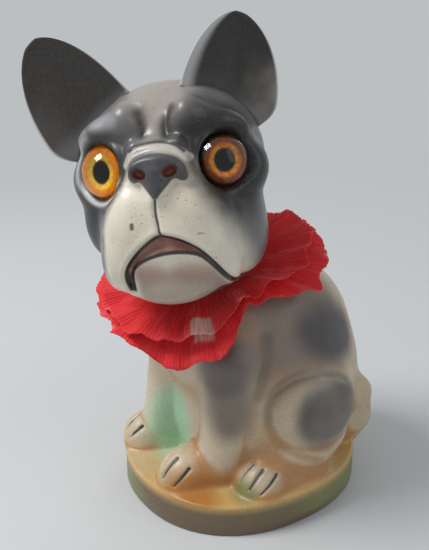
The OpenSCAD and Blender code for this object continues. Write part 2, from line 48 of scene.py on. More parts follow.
# camera and lamps
look = {
    "cameraAt": (0.2516, -0.1855, 0.218), "heading": 55.75, "downTilt": 21.6, "lens": 52.36,
    "floorColour": (0.60, 0.62, 0.62), "backColour": (0.50, 0.52, 0.53), "floorHalf": 3.0, "fade": (0.25, 0.8),
    "skyColour": (0.9, 0.93, 1), "skyStrength": 0.40,
    "lamps": {  # metres to the right, up and away as the camera sees it, then size and power
        "keyLight": (-0.55, 0.62, -0.35, 0.34, 6.2), "fillLight": (0.7, 0.25, -0.5, 0.7, 1.0),
        "backLight": (0.3, 0.7, 0.6, 0.5, 1.0)},
}


def makeCamera():
    # forward, right and up follow from the heading about Z and the tilt below the horizon
    h, p = math.radians(look["heading"]), math.radians(look["downTilt"])
    forward = Vector((-math.sin(h) * math.cos(p), math.cos(h) * math.cos(p), -math.sin(p)))
    right = Vector((math.cos(h), math.sin(h), 0))
    up = right.cross(forward)
    data = bpy.data.cameras.new("photoCamera")
    data.lens, data.sensor_width = look["lens"], 36
    data.clip_start, data.clip_end = 0.01, 20
    cam = bpy.data.objects.new("photoCamera", data)
    scene.collection.objects.link(cam)
    cam.matrix_world = Matrix((
        (right.x, up.x, -forward.x, look["cameraAt"][0]),
        (right.y, up.y, -forward.y, look["cameraAt"][1]),
        (right.z, up.z, -forward.z, look["cameraAt"][2]), (0, 0, 0, 1)))
    scene.camera = cam
    return right, up, forward


def areaLight(name, at, target, size, power):
    # a square lamp turned to face its target
    data = bpy.data.lights.new(name, "AREA")
    data.size, data.energy = size, power
    lamp = bpy.data.objects.new(name, data)
    lamp.location = at
    lamp.rotation_euler = (Vector(target) - Vector(at)).to_track_quat("-Z", "Y").to_euler()
    scene.collection.objects.link(lamp)


camRight, camUp, camForward = makeCamera()
scene.view_settings.view_transform = "Standard"
middle = Vector((0, 0, 0.1))
for name, (right, up, away, size, power) in look["lamps"].items():
    areaLight(name, middle + camRight * right + camUp * up + camForward * away, middle, size, power)

# helpers for shapes; lengths are in millimetres and turns in degrees


def turnX(a):
    # the matrix that turns by a about X
    c, s = math.cos(math.radians(a)), math.sin(math.radians(a))
    return np.array([[1, 0, 0], [0, c, -s], [0, s, c]])


def turnY(a):
    # the matrix that turns by a about Y
    c, s = math.cos(math.radians(a)), math.sin(math.radians(a))
    return np.array([[c, 0, s], [0, 1, 0], [-s, 0, c]])


def turnZ(a):
    # the matrix that turns by a about Z
    c, s = math.cos(math.radians(a)), math.sin(math.radians(a))
    return np.array([[c, -s, 0], [s, c, 0], [0, 0, 1]])


def unit(v):
    # v over its own length
    v = np.asarray(v, float)
    return v / np.linalg.norm(v)


def eggGap(p, at, r, turn=(0, 0, 0)):
    # about how far p lies outside a turned ellipsoid: k (k - 1) / |grad| with k the scaled radius
    m = turnZ(turn[2]) @ turnY(turn[1]) @ turnX(turn[0])
    q = (p - np.array(at, float)) @ m
    r = np.array(r, float)
    k = np.sqrt(((q / r) ** 2).sum(-1))
    return k * (k - 1) / (np.sqrt(((q / r ** 2) ** 2).sum(-1)) + 1e-9)


def limbGap(p, a, b, ra, rb):
    # distance to a tapered rod from a to b
    a, b = np.array(a, float), np.array(b, float)
    d = b - a
    t = np.clip((p - a) @ d / (d @ d), 0, 1)
    return np.sqrt(((p - a - t[..., None] * d) ** 2).sum(-1)) - ra - t * (rb - ra)


def lineGap(p, points):
    # distance to a run of straight pieces through the points
    return np.minimum.reduce([limbGap(p, a, b, 0, 0) for a, b in zip(points[:-1], points[1:])])


def flatLineGap(x, z, points):
    # the same in the plane that the face is drawn on
    return lineGap(np.stack([x, z], -1), points)


def outlineGap(x, z, corners):
    # distance to a closed outline, less than nothing inside it
    far = flatLineGap(x, z, list(corners) + [corners[0]])
    inside = np.zeros(x.shape, bool)
    for (x1, z1), (x2, z2) in zip(corners, list(corners[1:]) + [corners[0]]):
        if z1 != z2:
            inside ^= ((z1 > z) != (z2 > z)) & (x < x1 + (z - z1) * (x2 - x1) / (z2 - z1))
    return np.where(inside, -far, far)


def swellingAt(d, width):
    # a bell: 1 where the distance d is nothing, falling off over the width
    return np.exp(-(d / width) ** 2)


def crowdedTurns(count, middle, half, share):
    # turns in degrees, closer together for half on each side of the middle one
    inner = int(count * share)
    return np.concatenate([np.linspace(middle - half, middle + half, inner, endpoint=False),
                           np.linspace(middle + half, middle - half + 360, count - inner, endpoint=False)])


def melted(gaps, soft):
    # forms run together through the sum of their exponentials
    return -soft * np.log(sum(np.exp(-np.clip(g, -60, 200) / soft) for g in gaps))


def marched(gapAt, origin, dirs, far, steps=24, stride=0.86):
    # walks in along every ray until it meets the skin
    t = np.full(dirs.shape[:-1], float(far))
    for i in range(steps):
        t = np.maximum(t - stride * gapAt(origin + dirs * t[..., None]), 0.5)
    return t


def evened(skin, passes, share):
    # each pass moves a point towards the middle of its four neighbours on the grid
    for i in range(passes):
        inner = (np.roll(skin, 1, 1) + np.roll(skin, -1, 1))[1:-1] + skin[2:] + skin[:-2]
        skin = skin.copy()
        skin[1:-1] += share[1:-1, :, None] * (inner / 4 - skin[1:-1])
    return skin


def smoothStep(x, low, high):
    # 0 up to low, 1 from high on, and 3 t2 - 2 t3 between
    t = np.clip((x - low) / (high - low), 0, 1)
    return t * t * (3 - 2 * t)


def hashNoise(p, scale, seed=0):
    # value noise: random numbers at the corners of a lattice, blended smoothly between them
    q = p * scale
    i = np.floor(q).astype(np.int64)
    f = q - i
    f = f * f * (3 - 2 * f)
    out = 0
    for dx in (0, 1):
        for dy in (0, 1):
            for dz in (0, 1):
                n = (i[..., 0] + dx) * 374761393 + (i[..., 1] + dy) * 668265263
                n = n + (i[..., 2] + dz) * 2147483647 + seed * 974711
                n = (n ^ (n >> 13)) * 1274126177
                r = ((n ^ (n >> 16)) & 65535) / 65535
                w = 1
                for axis, d in enumerate((dx, dy, dz)):
                    w = w * (f[..., axis] if d else 1 - f[..., axis])
                out = out + r * w
    return out


def cloud(p, scale, seed=0, layers=3):
    # value noise in layers, each twice as fine and half as strong as the one before, evened to between 0 and 1
    total = sum(hashNoise(p, scale * 2 ** i, seed + 17 * i) / 2 ** i for i in range(layers))
    return total / sum(1 / 2 ** i for i in range(layers))


def gridFaces(rings, n, flip=False):
    # quads between closed rings of n points, counted ring by ring
    i, k = np.meshgrid(np.arange(rings - 1), np.arange(n), indexing="ij")
    k2 = (k + 1) % n
    q = np.stack([i * n + k, i * n + k2, (i + 1) * n + k2, (i + 1) * n + k], -1).reshape(-1, 4)
    return q[:, ::-1] if flip else q


def fanFaces(tip, ring, flip=False):
    # triangles from one point to a closed ring
    ring = np.asarray(ring)
    f = np.stack([np.full(len(ring), tip), ring, np.roll(ring, -1)], -1)
    return f[:, ::-1] if flip else f


def tipFaces(count, n, flip=False):
    # fans that close a run of rings at both ends, on two points kept behind the last ring
    first, last = np.arange(n), (count - 1) * n + np.arange(n)
    return [fanFaces(count * n, first, not flip), fanFaces(count * n + 1, last, flip)]


def meshFrom(name, points, quads, tris=None, masks=None):
    # a smooth mesh from points in the part's frame, with each mask as an attribute on its points
    mesh = bpy.data.meshes.new(name)
    points = np.asarray(points, float) * mm
    quads = np.asarray(quads).reshape(-1, 4)
    tris = np.zeros((0, 3), int) if tris is None else np.asarray(tris).reshape(-1, 3)
    mesh.vertices.add(len(points))
    mesh.vertices.foreach_set("co", points.ravel())
    mesh.loops.add(quads.size + tris.size)
    mesh.loops.foreach_set("vertex_index", np.concatenate([quads.ravel(), tris.ravel()]).astype(np.int32))
    mesh.polygons.add(len(quads) + len(tris))
    starts = np.concatenate([np.arange(len(quads)) * 4, quads.size + np.arange(len(tris)) * 3])
    mesh.polygons.foreach_set("loop_start", starts.astype(np.int32))
    mesh.update(calc_edges=True)
    mesh.validate()
    mesh.polygons.foreach_set("use_smooth", np.full(len(mesh.polygons), True))
    for key, values in (masks or {}).items():
        layer = mesh.attributes.new(key, "FLOAT", "POINT")
        layer.data.foreach_set("value", np.asarray(values, np.float32).ravel())
    obj = bpy.data.objects.new(name, mesh)
    scene.collection.objects.link(obj)
    return obj


class Finish:
    # a material under construction: each call adds a node and gives back its output socket
    def __init__(self, name):
        self.material = bpy.data.materials.new(name)
        self.material.use_nodes = True
        self.tree = self.material.node_tree
        self.shader = self.tree.nodes["Principled BSDF"]
        self.place = self.node("ShaderNodeTexCoord").outputs["Object"]

    def node(self, kind, **settings):
        made = self.tree.nodes.new(kind)
        for key, value in settings.items():
            setattr(made, key, value)
        return made

    def put(self, socket, value):
        if isinstance(value, bpy.types.NodeSocket):
            self.tree.links.new(value, socket)
        elif isinstance(value, (tuple, list)) and len(value) == 3 and socket.type == "RGBA":
            socket.default_value = (*value, 1)
        else:
            socket.default_value = value

    def mask(self, name):
        return self.node("ShaderNodeAttribute", attribute_name=name).outputs["Fac"]

    def noise(self, scale, detail=4, rough=0.55, where=None):
        n = self.node("ShaderNodeTexNoise")
        self.put(n.inputs["Vector"], where or self.place)
        for key, value in (("Scale", scale), ("Detail", detail), ("Roughness", rough)):
            self.put(n.inputs[key], value)
        return n.outputs["Fac"]

    def cells(self, scale):
        n = self.node("ShaderNodeTexVoronoi")
        self.put(n.inputs["Vector"], self.place)
        self.put(n.inputs["Scale"], scale)
        return n.outputs["Distance"]

    def math(self, kind, a, b=0.0, clamp=False):
        n = self.node("ShaderNodeMath", operation=kind, use_clamp=clamp)
        for socket, value in zip(n.inputs, (a, b)):
            self.put(socket, value)
        return n.outputs[0]

    def times(self, a, b):
        return self.math("MULTIPLY", a, b)

    def plus(self, a, b):
        return self.math("ADD", a, b)

    def centred(self, value):
        return self.math("SUBTRACT", value, 0.5)

    def maskRamp(self, name, low, high, lowOut=0.0, highOut=1.0):
        return self.ramp(self.mask(name), low, high, lowOut, highOut)

    def ramp(self, value, low, high, lowOut=0.0, highOut=1.0):
        n = self.node("ShaderNodeMapRange", interpolation_type="SMOOTHSTEP")
        for key, v in (("Value", value), ("From Min", low), ("From Max", high), ("To Min", lowOut),
                       ("To Max", highOut)):
            self.put(n.inputs[key], v)
        return n.outputs["Result"]

    def mix(self, share, a, b):
        n = self.node("ShaderNodeMix", data_type="RGBA", clamp_factor=True)
        self.put(n.inputs["Factor"], share)
        self.put([s for s in n.inputs if s.name == "A" and s.type == "RGBA"][0], a)
        self.put([s for s in n.inputs if s.name == "B" and s.type == "RGBA"][0], b)
        return [s for s in n.outputs if s.type == "RGBA"][0]

    def stretched(self, x, y, z):
        n = self.node("ShaderNodeMapping")
        self.put(n.inputs["Vector"], self.place)
        n.inputs["Scale"].default_value = (x, y, z)
        return n.outputs["Vector"]

    def bump(self, height, distance, strength):
        n = self.node("ShaderNodeBump")
        for key, value in (("Height", height), ("Distance", distance), ("Strength", strength)):
            self.put(n.inputs[key], value)
        return n.outputs["Normal"]

    def finish(self, **sockets):
        for key, value in sockets.items():
            self.put(self.shader.inputs[key.replace("_", " ")], value)
        return self.material


def dress(obj, material):
    obj.data.materials.clear()
    obj.data.materials.append(material)


# the neck's frame, shared by every piece
neck = {"at": (-5.4, -16.4, 101.3), "lean": 18.5, "rimR": 19, "headReach": 39.1, "rimGap": 7, "boreR": 13}
neckAt = np.array(neck["at"])
neckLean = math.radians(neck["lean"])
neckDir = np.array([0, -math.sin(neckLean), math.cos(neckLean)])
neckBack = np.array([0, math.cos(neckLean), math.sin(neckLean)])
headAt = neckAt + neck["headReach"] * neckDir

# the seated body
body = {
    "baseHalf": (47, 51.6), "baseSquare": 2.2, "baseH": 14, "baseRound": 1.6, "soft": 2.2,
    "columns": 400, "rows": 228, "frontHalf": 68, "frontShare": 0.6, "rayFrom": 84, "boreDeep": 25,
}


def baseReach(a):
    # how far the oval base reaches at the turn a in radians: a superellipse
    n, (halfX, halfY) = body["baseSquare"], body["baseHalf"]
    return (np.abs(np.cos(a) / halfX) ** n + np.abs(np.sin(a) / halfY) ** n) ** (-1 / n)


def baseGap(p):
    # about how far p lies outside the base, an upright oval block with a rounded upper edge
    out = np.hypot(p[..., 0], p[..., 1]) - baseReach(np.arctan2(p[..., 1], p[..., 0])) + body["baseRound"]
    up = p[..., 2] - body["baseH"] + body["baseRound"]
    beyond = np.hypot(np.maximum(out, 0), np.maximum(up, 0))
    return beyond + np.minimum(np.maximum(out, up), 0) - body["baseRound"]


toes = [  # strokes between the toes, from the top of the paw to its front, and the middle of the paw
    ((7.2, -41.6, 25.6), (7.6, -45.8, 22), (11, -37, 19)),
    ((12.2, -40.3, 25.5), (11.5, -47.3, 18.5), (11, -37, 19)),
    ((18.6, -39.5, 23.9), (17.4, -46, 17.5), (11, -37, 19)),
    ((-18.6, -40.4, 25.2), (-21.4, -45.1, 19.8), (-24, -37, 19)),
    ((-25.2, -39.1, 27.1), (-25.6, -44.3, 21.5), (-24, -37, 19)),
    ((-31, -37.5, 23.5), (-31.5, -42, 18.5), (-24, -37, 19)),
]
for s in (1, -1):
    toes += [((s * 32.7, -18.5, 26.5), (s * 32.6, -23.3, 19.4), (s * 34, -14, 18)),
             ((s * 37.7, -16.1, 25.3), (s * 37.6, -22.4, 18.3), (s * 34, -14, 18)),
             ((s * 41.7, -12, 23.6), (s * 42, -20.2, 17.5), (s * 34, -14, 18))]
haunch = [  # the line round the thigh
    (43.5, 12, 21), (42.9, 4.4, 25.1), (40.3, -4.4, 30.9), (36.4, -9.3, 36.4), (34.5, -11.6, 43.2),
    (33.1, -11.2, 49.4), (32.4, -8.3, 54.9), (32.9, -3.2, 58.1), (34, 4.6, 60.3), (35.5, 14.1, 59.9),
    (36.8, 27.2, 54.1),
]
armpit = [(27.8, -8.5, 77.7), (29.9, -9.4, 70), (30.5, -12.1, 62.1), (31, -14, 56)]


def toeGap(p):
    # distance from the nearest stroke, measured along the skin: the part that leads out of the paw is left out
    far = np.full(p.shape[:-1], 60.0)
    for a, b, middle in toes:
        half = (np.array(a) + np.array(b)) / 2
        out = unit(half - np.array(middle))
        near = np.linalg.norm(p - half, axis=-1) < 9
        q = p[near] - (p[near] @ out)[..., None] * out
        ends = [np.array(e) - (np.array(e) @ out) * out for e in (a, b)]
        far[near] = np.minimum(far[near], limbGap(q, ends[0], ends[1], 0.25, -0.15))
    return far


def bodyForms(p):
    # gaps to the base, and to the eggs and tapered limbs that the body is built from
    gaps = [baseGap(p)]
    for at, r, *turn in (
            ((0, 20, 45), (33, 39, 38)), ((0, 10.5, 65), (32, 42.5, 37.5), (-12, 0, 0)),
            ((0, -14, 72), (25, 22, 26)), ((-1, -16, 34), (18, 13, 30)),
            ((24, -4, 40), (10, 15, 22)), ((-25, -4, 40), (10, 15, 22)),
            ((29, 12, 41.5), (15.5, 24, 19.5), (0, 0, -4)), ((-29, 12, 41.5), (15.5, 24, 19.5), (0, 0, 4)),
            ((11, -36.5, 19), (9.5, 11.5, 8.2), (18, 0, 0)), ((-24, -36.5, 19), (9, 9, 8), (18, 0, 0)),
            ((34, -14, 18), (9, 9.5, 7.5), (12, 0, 0)), ((-34, -14, 18), (9, 9.5, 7.5), (12, 0, 0)),
            ((29, 10, 26), (13, 24, 12)), ((-29, 10, 26), (13, 24, 12)), ((10, 46, 24), (22, 12, 13))):
        gaps.append(eggGap(p, at, r, *turn))
    for a, b, ra, rb in (
            (neckAt - 19 * neckDir, neckAt + 4 * neckDir, 20, 18.5),
            ((20, -19, 68), (18, -24, 22), 12, 7.8), ((17, -25, 19), (12, -36, 17.5), 7.5, 7.5),
            ((-19, -22, 68), (-20, -31, 22), 10.5, 7),
            ((34, -12, 16.5), (36, 8, 15), 7.5, 6), ((-34, -12, 16.5), (-36, 8, 15), 7.5, 6),
            ((20, 45, 22), (24, 48, 35.5), 7.5, 6.8)):
        gaps.append(limbGap(p, a, b, ra, rb))
    return gaps


def bodyGap(p):
    # about how far p lies outside the body, its forms run together
    return melted(bodyForms(p), body["soft"])


def haunchGap(p):
    # distance to the line round the thigh, taken alike on both sides
    return lineGap(p * np.array([0, 1, 1]) + np.abs(p) * np.array([1, 0, 0]), haunch)


def bodyRelief(p):
    # what the hand and the mould leave on the cast forms: grooves between toes and a slightly uneven skin
    edge = haunchGap(p)
    out = -0.75 * swellingAt(np.maximum(toeGap(p), 0), 0.75) - 0.7 * swellingAt(lineGap(p, armpit), 1.8)
    out += 0.7 * swellingAt(edge - 5, 4) - 1.3 * swellingAt(edge, 2.2)
    return out + 0.5 * (cloud(p, 0.09, 5, 2) - 0.5)


def neckRing(r, w, angles):
    # a circle of radius r about the neck's axis, w along it
    out = np.cos(angles)[:, None] * np.array([1, 0, 0]) + np.sin(angles)[:, None] * neckBack
    return neckAt + w * neckDir + r * out


def makeBody():
    # rays climb from the base to the neck at 45 degrees, up and outwards, about an axis that leans with them
    n = body["columns"]
    a = np.radians(crowdedTurns(n, -90, body["frontHalf"], body["frontShare"]))
    g = np.linspace(0, 1, body["rows"]) ** 1.05 * 0.99
    lean = np.radians(neck["lean"]) * g[:, None]
    dirs = np.stack([np.cos(a) + 0 * lean, np.sin(a) * np.cos(lean) - np.sin(lean),
                     np.sin(a) * np.sin(lean) + np.cos(lean)], -1)
    share, foot = g[:, None, None], np.stack([0 * a, 0 * a, body["baseH"] - baseReach(a)], -1)
    root = (1 - share) * foot + share * (neckAt - 22 * neckDir)
    t = marched(bodyGap, root, dirs, body["rayFrom"])
    skin = root + dirs * t[..., None]
    skin += dirs * (bodyRelief(skin) * smoothStep(skin[..., 2], 13, 16))[..., None]
    smooth = 0.7 * smoothStep(toeGap(skin), 1, 3)
    smooth[:6], smooth[-12:] = 0, 0
    skin = evened(skin, 6, smooth)
    reach = baseReach(a)
    wall = [np.stack([(reach - d) * np.cos(a), (reach - d) * np.sin(a), 0 * a + z], -1)
            for d, z in ((1.2, 0), (0.35, 0.3), (0, 1), (0, 4), (0, 8), (0, body["baseH"] - body["baseRound"]))]
    rimR, boreR, deep = neck["rimR"], neck["boreR"], body["boreDeep"]
    rim = [neckRing(r, w, a) for r, w in ((rimR, -0.6), (rimR - 0.6, 0), (boreR + 0.6, 0), (boreR, -0.6),
                                          (boreR, -deep / 2), (boreR, -deep))]
    rings = np.concatenate([np.stack(wall), skin, np.stack(rim)])
    points = np.concatenate([rings.reshape(-1, 3), [[0, 0, 0]], [neckAt - deep * neckDir]])
    count = len(rings)
    quads = gridFaces(count, n)
    tris = np.concatenate(tipFaces(count, n))

    def patch(at, r, turn=(0, 0, 0), soft=5):
        # 1 inside a soft egg, 0 outside
        return smoothStep(-eggGap(points, at, r, turn), -soft, soft)

    thigh = eggGap(points, (44, 16, 44), (12, 15, 13.5))
    masks = {
        "crease": np.min(np.stack(bodyForms(points)), 0),  # deep where two forms run together
        "toeGap": toeGap(points), "armpit": lineGap(points, armpit), "haunch": haunchGap(points),
        "flank": np.maximum(patch((28, 24, 72), (14, 20, 12.5), (-25, 0, 0), 6),
                            0.8 * patch((-28, 30, 74), (13, 15, 12), (-20, 0, 0), 6)),
        "thigh": np.maximum(patch((44, 17, 44), (12, 19, 15)), 0.7 * patch((-42, 18, 44), (10, 12, 10))),
        "thighRim": swellingAt(thigh, 3) * smoothStep(-points[:, 1], -16, 2) * (points[:, 0] > 0),
        "shoulder": np.maximum(patch((25, -27, 68), (11, 12, 12)), 0.45 * patch((27, -25, 50), (7, 9, 12), soft=6)),
        # taupe haze, partly airbrushed grey-brown and partly painted shade under the ruff
        "hazeAndRuffShade": np.maximum.reduce([patch((24, 2, 78), (20, 34, 24), soft=9),
                                   patch((26, -24, 55), (10, 10, 18), soft=6),
                                   0.8 * patch((-26, 8, 76), (18, 32, 22), soft=9)]),
        "web": patch((-9, -30, 29), (12, 11, 17), soft=6),
        "ledge": patch((22, -40, 17), (15, 9, 7), soft=4),
        "greenToe": patch((36, -24, 17), (6, 5, 4), soft=3),
        "high": points[:, 2],
        "round": np.degrees(np.arctan2(points[:, 1], points[:, 0])),
    }
    return meshFrom("paintedBody", points, quads, tris, masks)


bodyObj = makeBody()
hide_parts("body_casting")
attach(bodyObj, "figure")
print("body made")

# the head, worked out upright and looking along -Y, then turned
head = {
    "turn": 48, "lift": 12, "cock": 7.5, "soft": 1.8, "columns": 380, "rows": 210, "faceRows": 150,
    "eyeAt": (22.7, -22.3, 6.0), "eyeSplay": 36, "socketR": 9.7, "socketDeep": 2.3, "mouthDeep": 2.4, "rayFrom": 62,
    "boreDeep": 24,
}
headTurn = turnZ(head["turn"]) @ turnX(-head["lift"]) @ turnY(-head["cock"])
crownDir = headTurn.T @ neckDir
crownSide = unit(np.cross([0, 1, 0], crownDir))
crownBack = np.cross(crownDir, crownSide)


def eyeSeat(side):
    # an eye's middle, the way it looks, and the way across it away from the nose
    splay = math.radians(head["eyeSplay"])
    x, y, z = head["eyeAt"]
    axis = np.array([side * math.sin(splay), -math.cos(splay), 0])
    return np.array([side * x, y, z]), axis, np.array([side * math.cos(splay), math.sin(splay), 0])


def eyeFrame(p, side):
    # p as seen from an eye: distance from the eye's axis, and height along it
    middle, axis = eyeSeat(side)[:2]
    q = p - middle
    along = q @ axis
    return np.sqrt(np.maximum((q ** 2).sum(-1) - along ** 2, 0)), along


# lines drawn on the face, in the plane across it: sideways from the middle, and up
face = {
    "lipTop": [(-15.3, -37), (-15.6, -31.4), (-13.8, -27.2), (-9.7, -22.9), (-4.8, -19.2), (-1.5, -17.4),
               (0.5, -17.4), (5.2, -18.8), (9.6, -21.2), (13.9, -24.5), (17.9, -29.5), (20.9, -34.4),
               (22.4, -37)],
    "lipLow": [(-13.4, -37), (-13.2, -32.5), (-12, -28.8), (-8.7, -26.3), (-4.1, -24.6), (1.1, -23.6),
               (6.9, -23.8), (11.5, -24.9), (13.6, -26.2), (17.3, -30.4), (20.2, -35), (21.8, -37.3)],
    "philtrum": [(-0.6, -5), (-1.2, -9.5), (-0.7, -12.5), (-0.2, -17.4)],
    "nose": [(-9.7, 2.8), (-9.4, 5.5), (-8.2, 8.4), (-5.7, 10.3), (-1.4, 10.9), (2.8, 10.6), (7.1, 9.3),
             (10.3, 6.6), (11.2, 2.9), (10.6, 1), (8.9, 0.7), (7.2, 1.9), (5.6, 1.6), (4.2, 0), (1.7, -2.7),
             (-0.5, -5.3), (-2.5, -2.3), (-4.5, 0.2), (-5.9, 1.9), (-8, 1.1)],
    "noseBar": [(-7.6, 3.2), (-7.5, 5.4), (-6.4, 7.4), (-4, 8.6), (0, 9), (4.5, 8.7), (7.6, 7), (8.9, 4.6),
                (8.9, 2.8)],
    "rollCrease": [(-9.5, 12.2), (-6.8, 14), (-3.6, 14.6), (0, 14.7), (3.5, 14.3), (7.3, 13), (10, 10.6)],
    "roll": [(-11, 7.5), (-9.9, 10), (-7.5, 11.9), (-3.6, 12.9), (0.4, 13), (4.6, 12.5), (8.6, 10.8),
             (11.4, 8.2)],
    "furrowRight": [(5.6, 26), (4.4, 23), (3.3, 20.6), (3.7, 17.4)],
    "furrowLeft": [(-6.4, 25), (-5.2, 21.5), (-5.4, 17.8)],
    "muzzle": [(-9.3, 6), (-11.4, 3), (-13.5, -1.9), (-17.7, -6.4), (-20.4, -11.2), (-21.6, -15.2),
               (-21.9, -19.2), (-22, -24), (-22, -31.5), (-23, -38), (-22, -52), (24, -52), (27, -40),
               (27.5, -31), (26.8, -24), (22.4, -15.6), (17.6, -9.8), (13.6, -3.1), (11.4, 2), (10.2, 7),
               (0, 12)],
    "stripe": [(-13, 42), (13, 42), (12, 33), (7.5, 26), (4.4, 18), (3.6, 14.6), (-3.6, 14.6), (-4.8, 18.5),
               (-7.5, 25), (-13, 32)],
    "nostrils": [(-5.5, 4.1), (5.3, 4.3)],
}


def rounded(points, closed):
    # corner cutting, twice: each side gives the points a quarter and three quarters along it
    p = np.array(points, float)
    for _ in range(2):
        q = np.roll(p, -1, axis=0) if closed else p[1:]
        p0 = p if closed else p[:-1]
        cut = np.stack([0.75 * p0 + 0.25 * q, 0.25 * p0 + 0.75 * q], axis=1).reshape(-1, 2)
        p = cut if closed else np.concatenate([p[:1], cut, p[-1:]])
    return [tuple(c) for c in p]


for part in ("nose", "muzzle", "noseBar", "roll", "rollCrease", "lipTop", "lipLow", "furrowRight", "furrowLeft",
             "philtrum"):
    face[part] = rounded(face[part], closed=part in ("nose", "muzzle"))
face["mouth"] = face["lipTop"] + face["lipLow"][::-1]


def headForms(p):
    # gaps to the eggs that the head is built from: skull, muzzle, jowls, brows
    gaps = []
    for at, r, *turn in (
            ((0, 4, 8), (35, 31, 30)), ((0, -2, -10), (32, 26, 26)), ((0, -9, 3), (37, 20, 20)),
            ((0, -22, -17), (24, 16.5, 19)), ((0, -25, -4), (9, 11.5, 9)), ((0, -20, -35), (17, 11.5, 9), (20, 0, 0)),
            ((23, -6, -20), (11.5, 17, 17)), ((-21, -7, -13), (13.3, 15, 16))):
        gaps.append(eggGap(p, at, r, *turn))
    for s in (1, -1):
        gaps += [eggGap(p, (s * 11, -24, -10), (11, 13, 14), (0, -16 * s, 0)),
                 eggGap(p, (s * 15.5, -21, -23), (9.5, 14, 15.5), (-8, -18 * s, 0)),
                 eggGap(p, (s * 20, -16, 20), (12, 9, 6), (0, 20 * s, 12 * s)),
                 eggGap(p, (s * 11, -21, 23), (6.5, 8, 7))]
    return gaps


def noseGap(p):
    # the nose leather: a broad pad and the wedge below
    return melted([eggGap(p, (0.6, -32, 6), (10.2, 6, 4.6)), limbGap(p, (-7, -32.6, 5), (8.2, -32.6, 5), 3.3, 3.3),
                   limbGap(p, (0, -34, 3), (-0.4, -36.6, -4.5), 4.4, 1.5)], 0.9)


def headGap(p):
    # about how far p lies outside the head: its forms, the nose and the roll above it run together
    return melted(headForms(p) + [noseGap(p), limbGap(p, (-7.5, -28, 12.4), (7.5, -28, 12.4), 2.6, 2.6)],
                  head["soft"])


def inFront(p, y):
    # 1 on the face side of y, 0 behind
    return smoothStep(-p[..., 1], -y, -y + 2)


def nostrilGap(x, z):
    # below 1 inside the oval of a nostril, which leans outwards
    gaps = []
    for u, v in face["nostrils"]:
        across, up, lean = x - u, z - v, 0.34 * np.sign(u)
        gaps.append(np.hypot((across * 0.94 + lean * up) / 2.9, (up * 0.94 - lean * across) / 1.9))
    return np.minimum(*gaps)


def faceRelief(p):
    # how far the finer forms of the face stand out, along the ray from the middle of the head
    x, z = p[..., 0], p[..., 2]

    def line(name):
        return flatLineGap(x, z, face[name])

    mouth, nose = outlineGap(x, z, face["mouth"]), outlineGap(x, z, face["nose"])
    low, top = flatLineGap(x, z, face["lipLow"][2:9]), line("lipTop")
    out = -head["mouthDeep"] * smoothStep(-mouth, -0.4, 2.0) - 0.9 * swellingAt(top, 0.6)
    out += 0.8 * swellingAt(low - 2, 1.5) * (mouth > 0) * smoothStep(-z, 22, 25)
    out += 0.35 * swellingAt(top - 1.6, 1.1) * (mouth > 0)
    out += 0.9 * smoothStep(-nose, -0.5, 0.8) - 3.0 * smoothStep(-nostrilGap(x, z), -1.05, -0.55)
    for name, high, width in (("philtrum", -0.9, 0.75), ("noseBar", 1.0, 1.5), ("rollCrease", -0.5, 0.8),
                              ("roll", 0.5, 1.3), ("furrowRight", -1.4, 1.9), ("furrowLeft", -0.9, 2.2)):
        out += high * swellingAt(line(name), width)
    return out * inFront(p, -16) + 0.4 * (cloud(p, 0.1, 21, 2) - 0.5)


def withEyes(p):
    # over the plane of each eye the skin is held under a bowl that rises outwards from the glass,
    # and a lid stands up round it
    p = p.copy()
    for s in (1, -1):
        middle, axis, aside = eyeSeat(s)
        out, up = eyeFrame(p, s)
        q = p - middle
        outer = (q @ aside) / np.maximum(out, 0.1)  # 1 on the outer side of the eye, -1 on the nose side
        above = q[..., 2] / np.maximum(out, 0.1)
        near = smoothStep(-out, -17, -14) * (up > -14)
        steep = 0.75 + 0.6 * np.maximum(above, 0) + 0.5 * np.maximum(-outer, 0)
        bowl = 0.5 + np.maximum(out - 10.2, 0) * steep
        held = -np.logaddexp(-up / 0.5, -bowl / 0.5) * 0.5
        lidTop = -0.2 + 1.1 * np.maximum(-above, 0) * np.maximum(outer + 0.6, 0)
        lidTop -= np.maximum(np.abs(out - 11) - 0.7, 0) * (0.9 + 0.4 * np.abs(outer))
        held = np.logaddexp(held / 0.6, lidTop / 0.6) * 0.6
        press = smoothStep(-out, -head["socketR"] - 0.45, -head["socketR"] + 0.35)
        held = held + press * np.minimum(-head["socketDeep"] - held, 0)
        p += axis * (near * (held - up))[..., None]
    return p


ears = {
    "rows": 40, "half": 19.5, "thick": 6, "cup": 7, "swell": 0.13, "flare": 1.5,
    "left": {"side": 1, "root": (18, 3, 20), "along": (13, 0, 43), "open": 32, "length": 42, "foot": 0.34,
             "hole": (26.3, 83.4, 28, 45)},
    "right": {"side": -1, "root": (-24, 3, 18), "along": (-28, -2, 42), "open": -12, "length": 48.5, "foot": 0.24,
              "hole": (26.3, 83.4, 140.6, 157.5)},
}


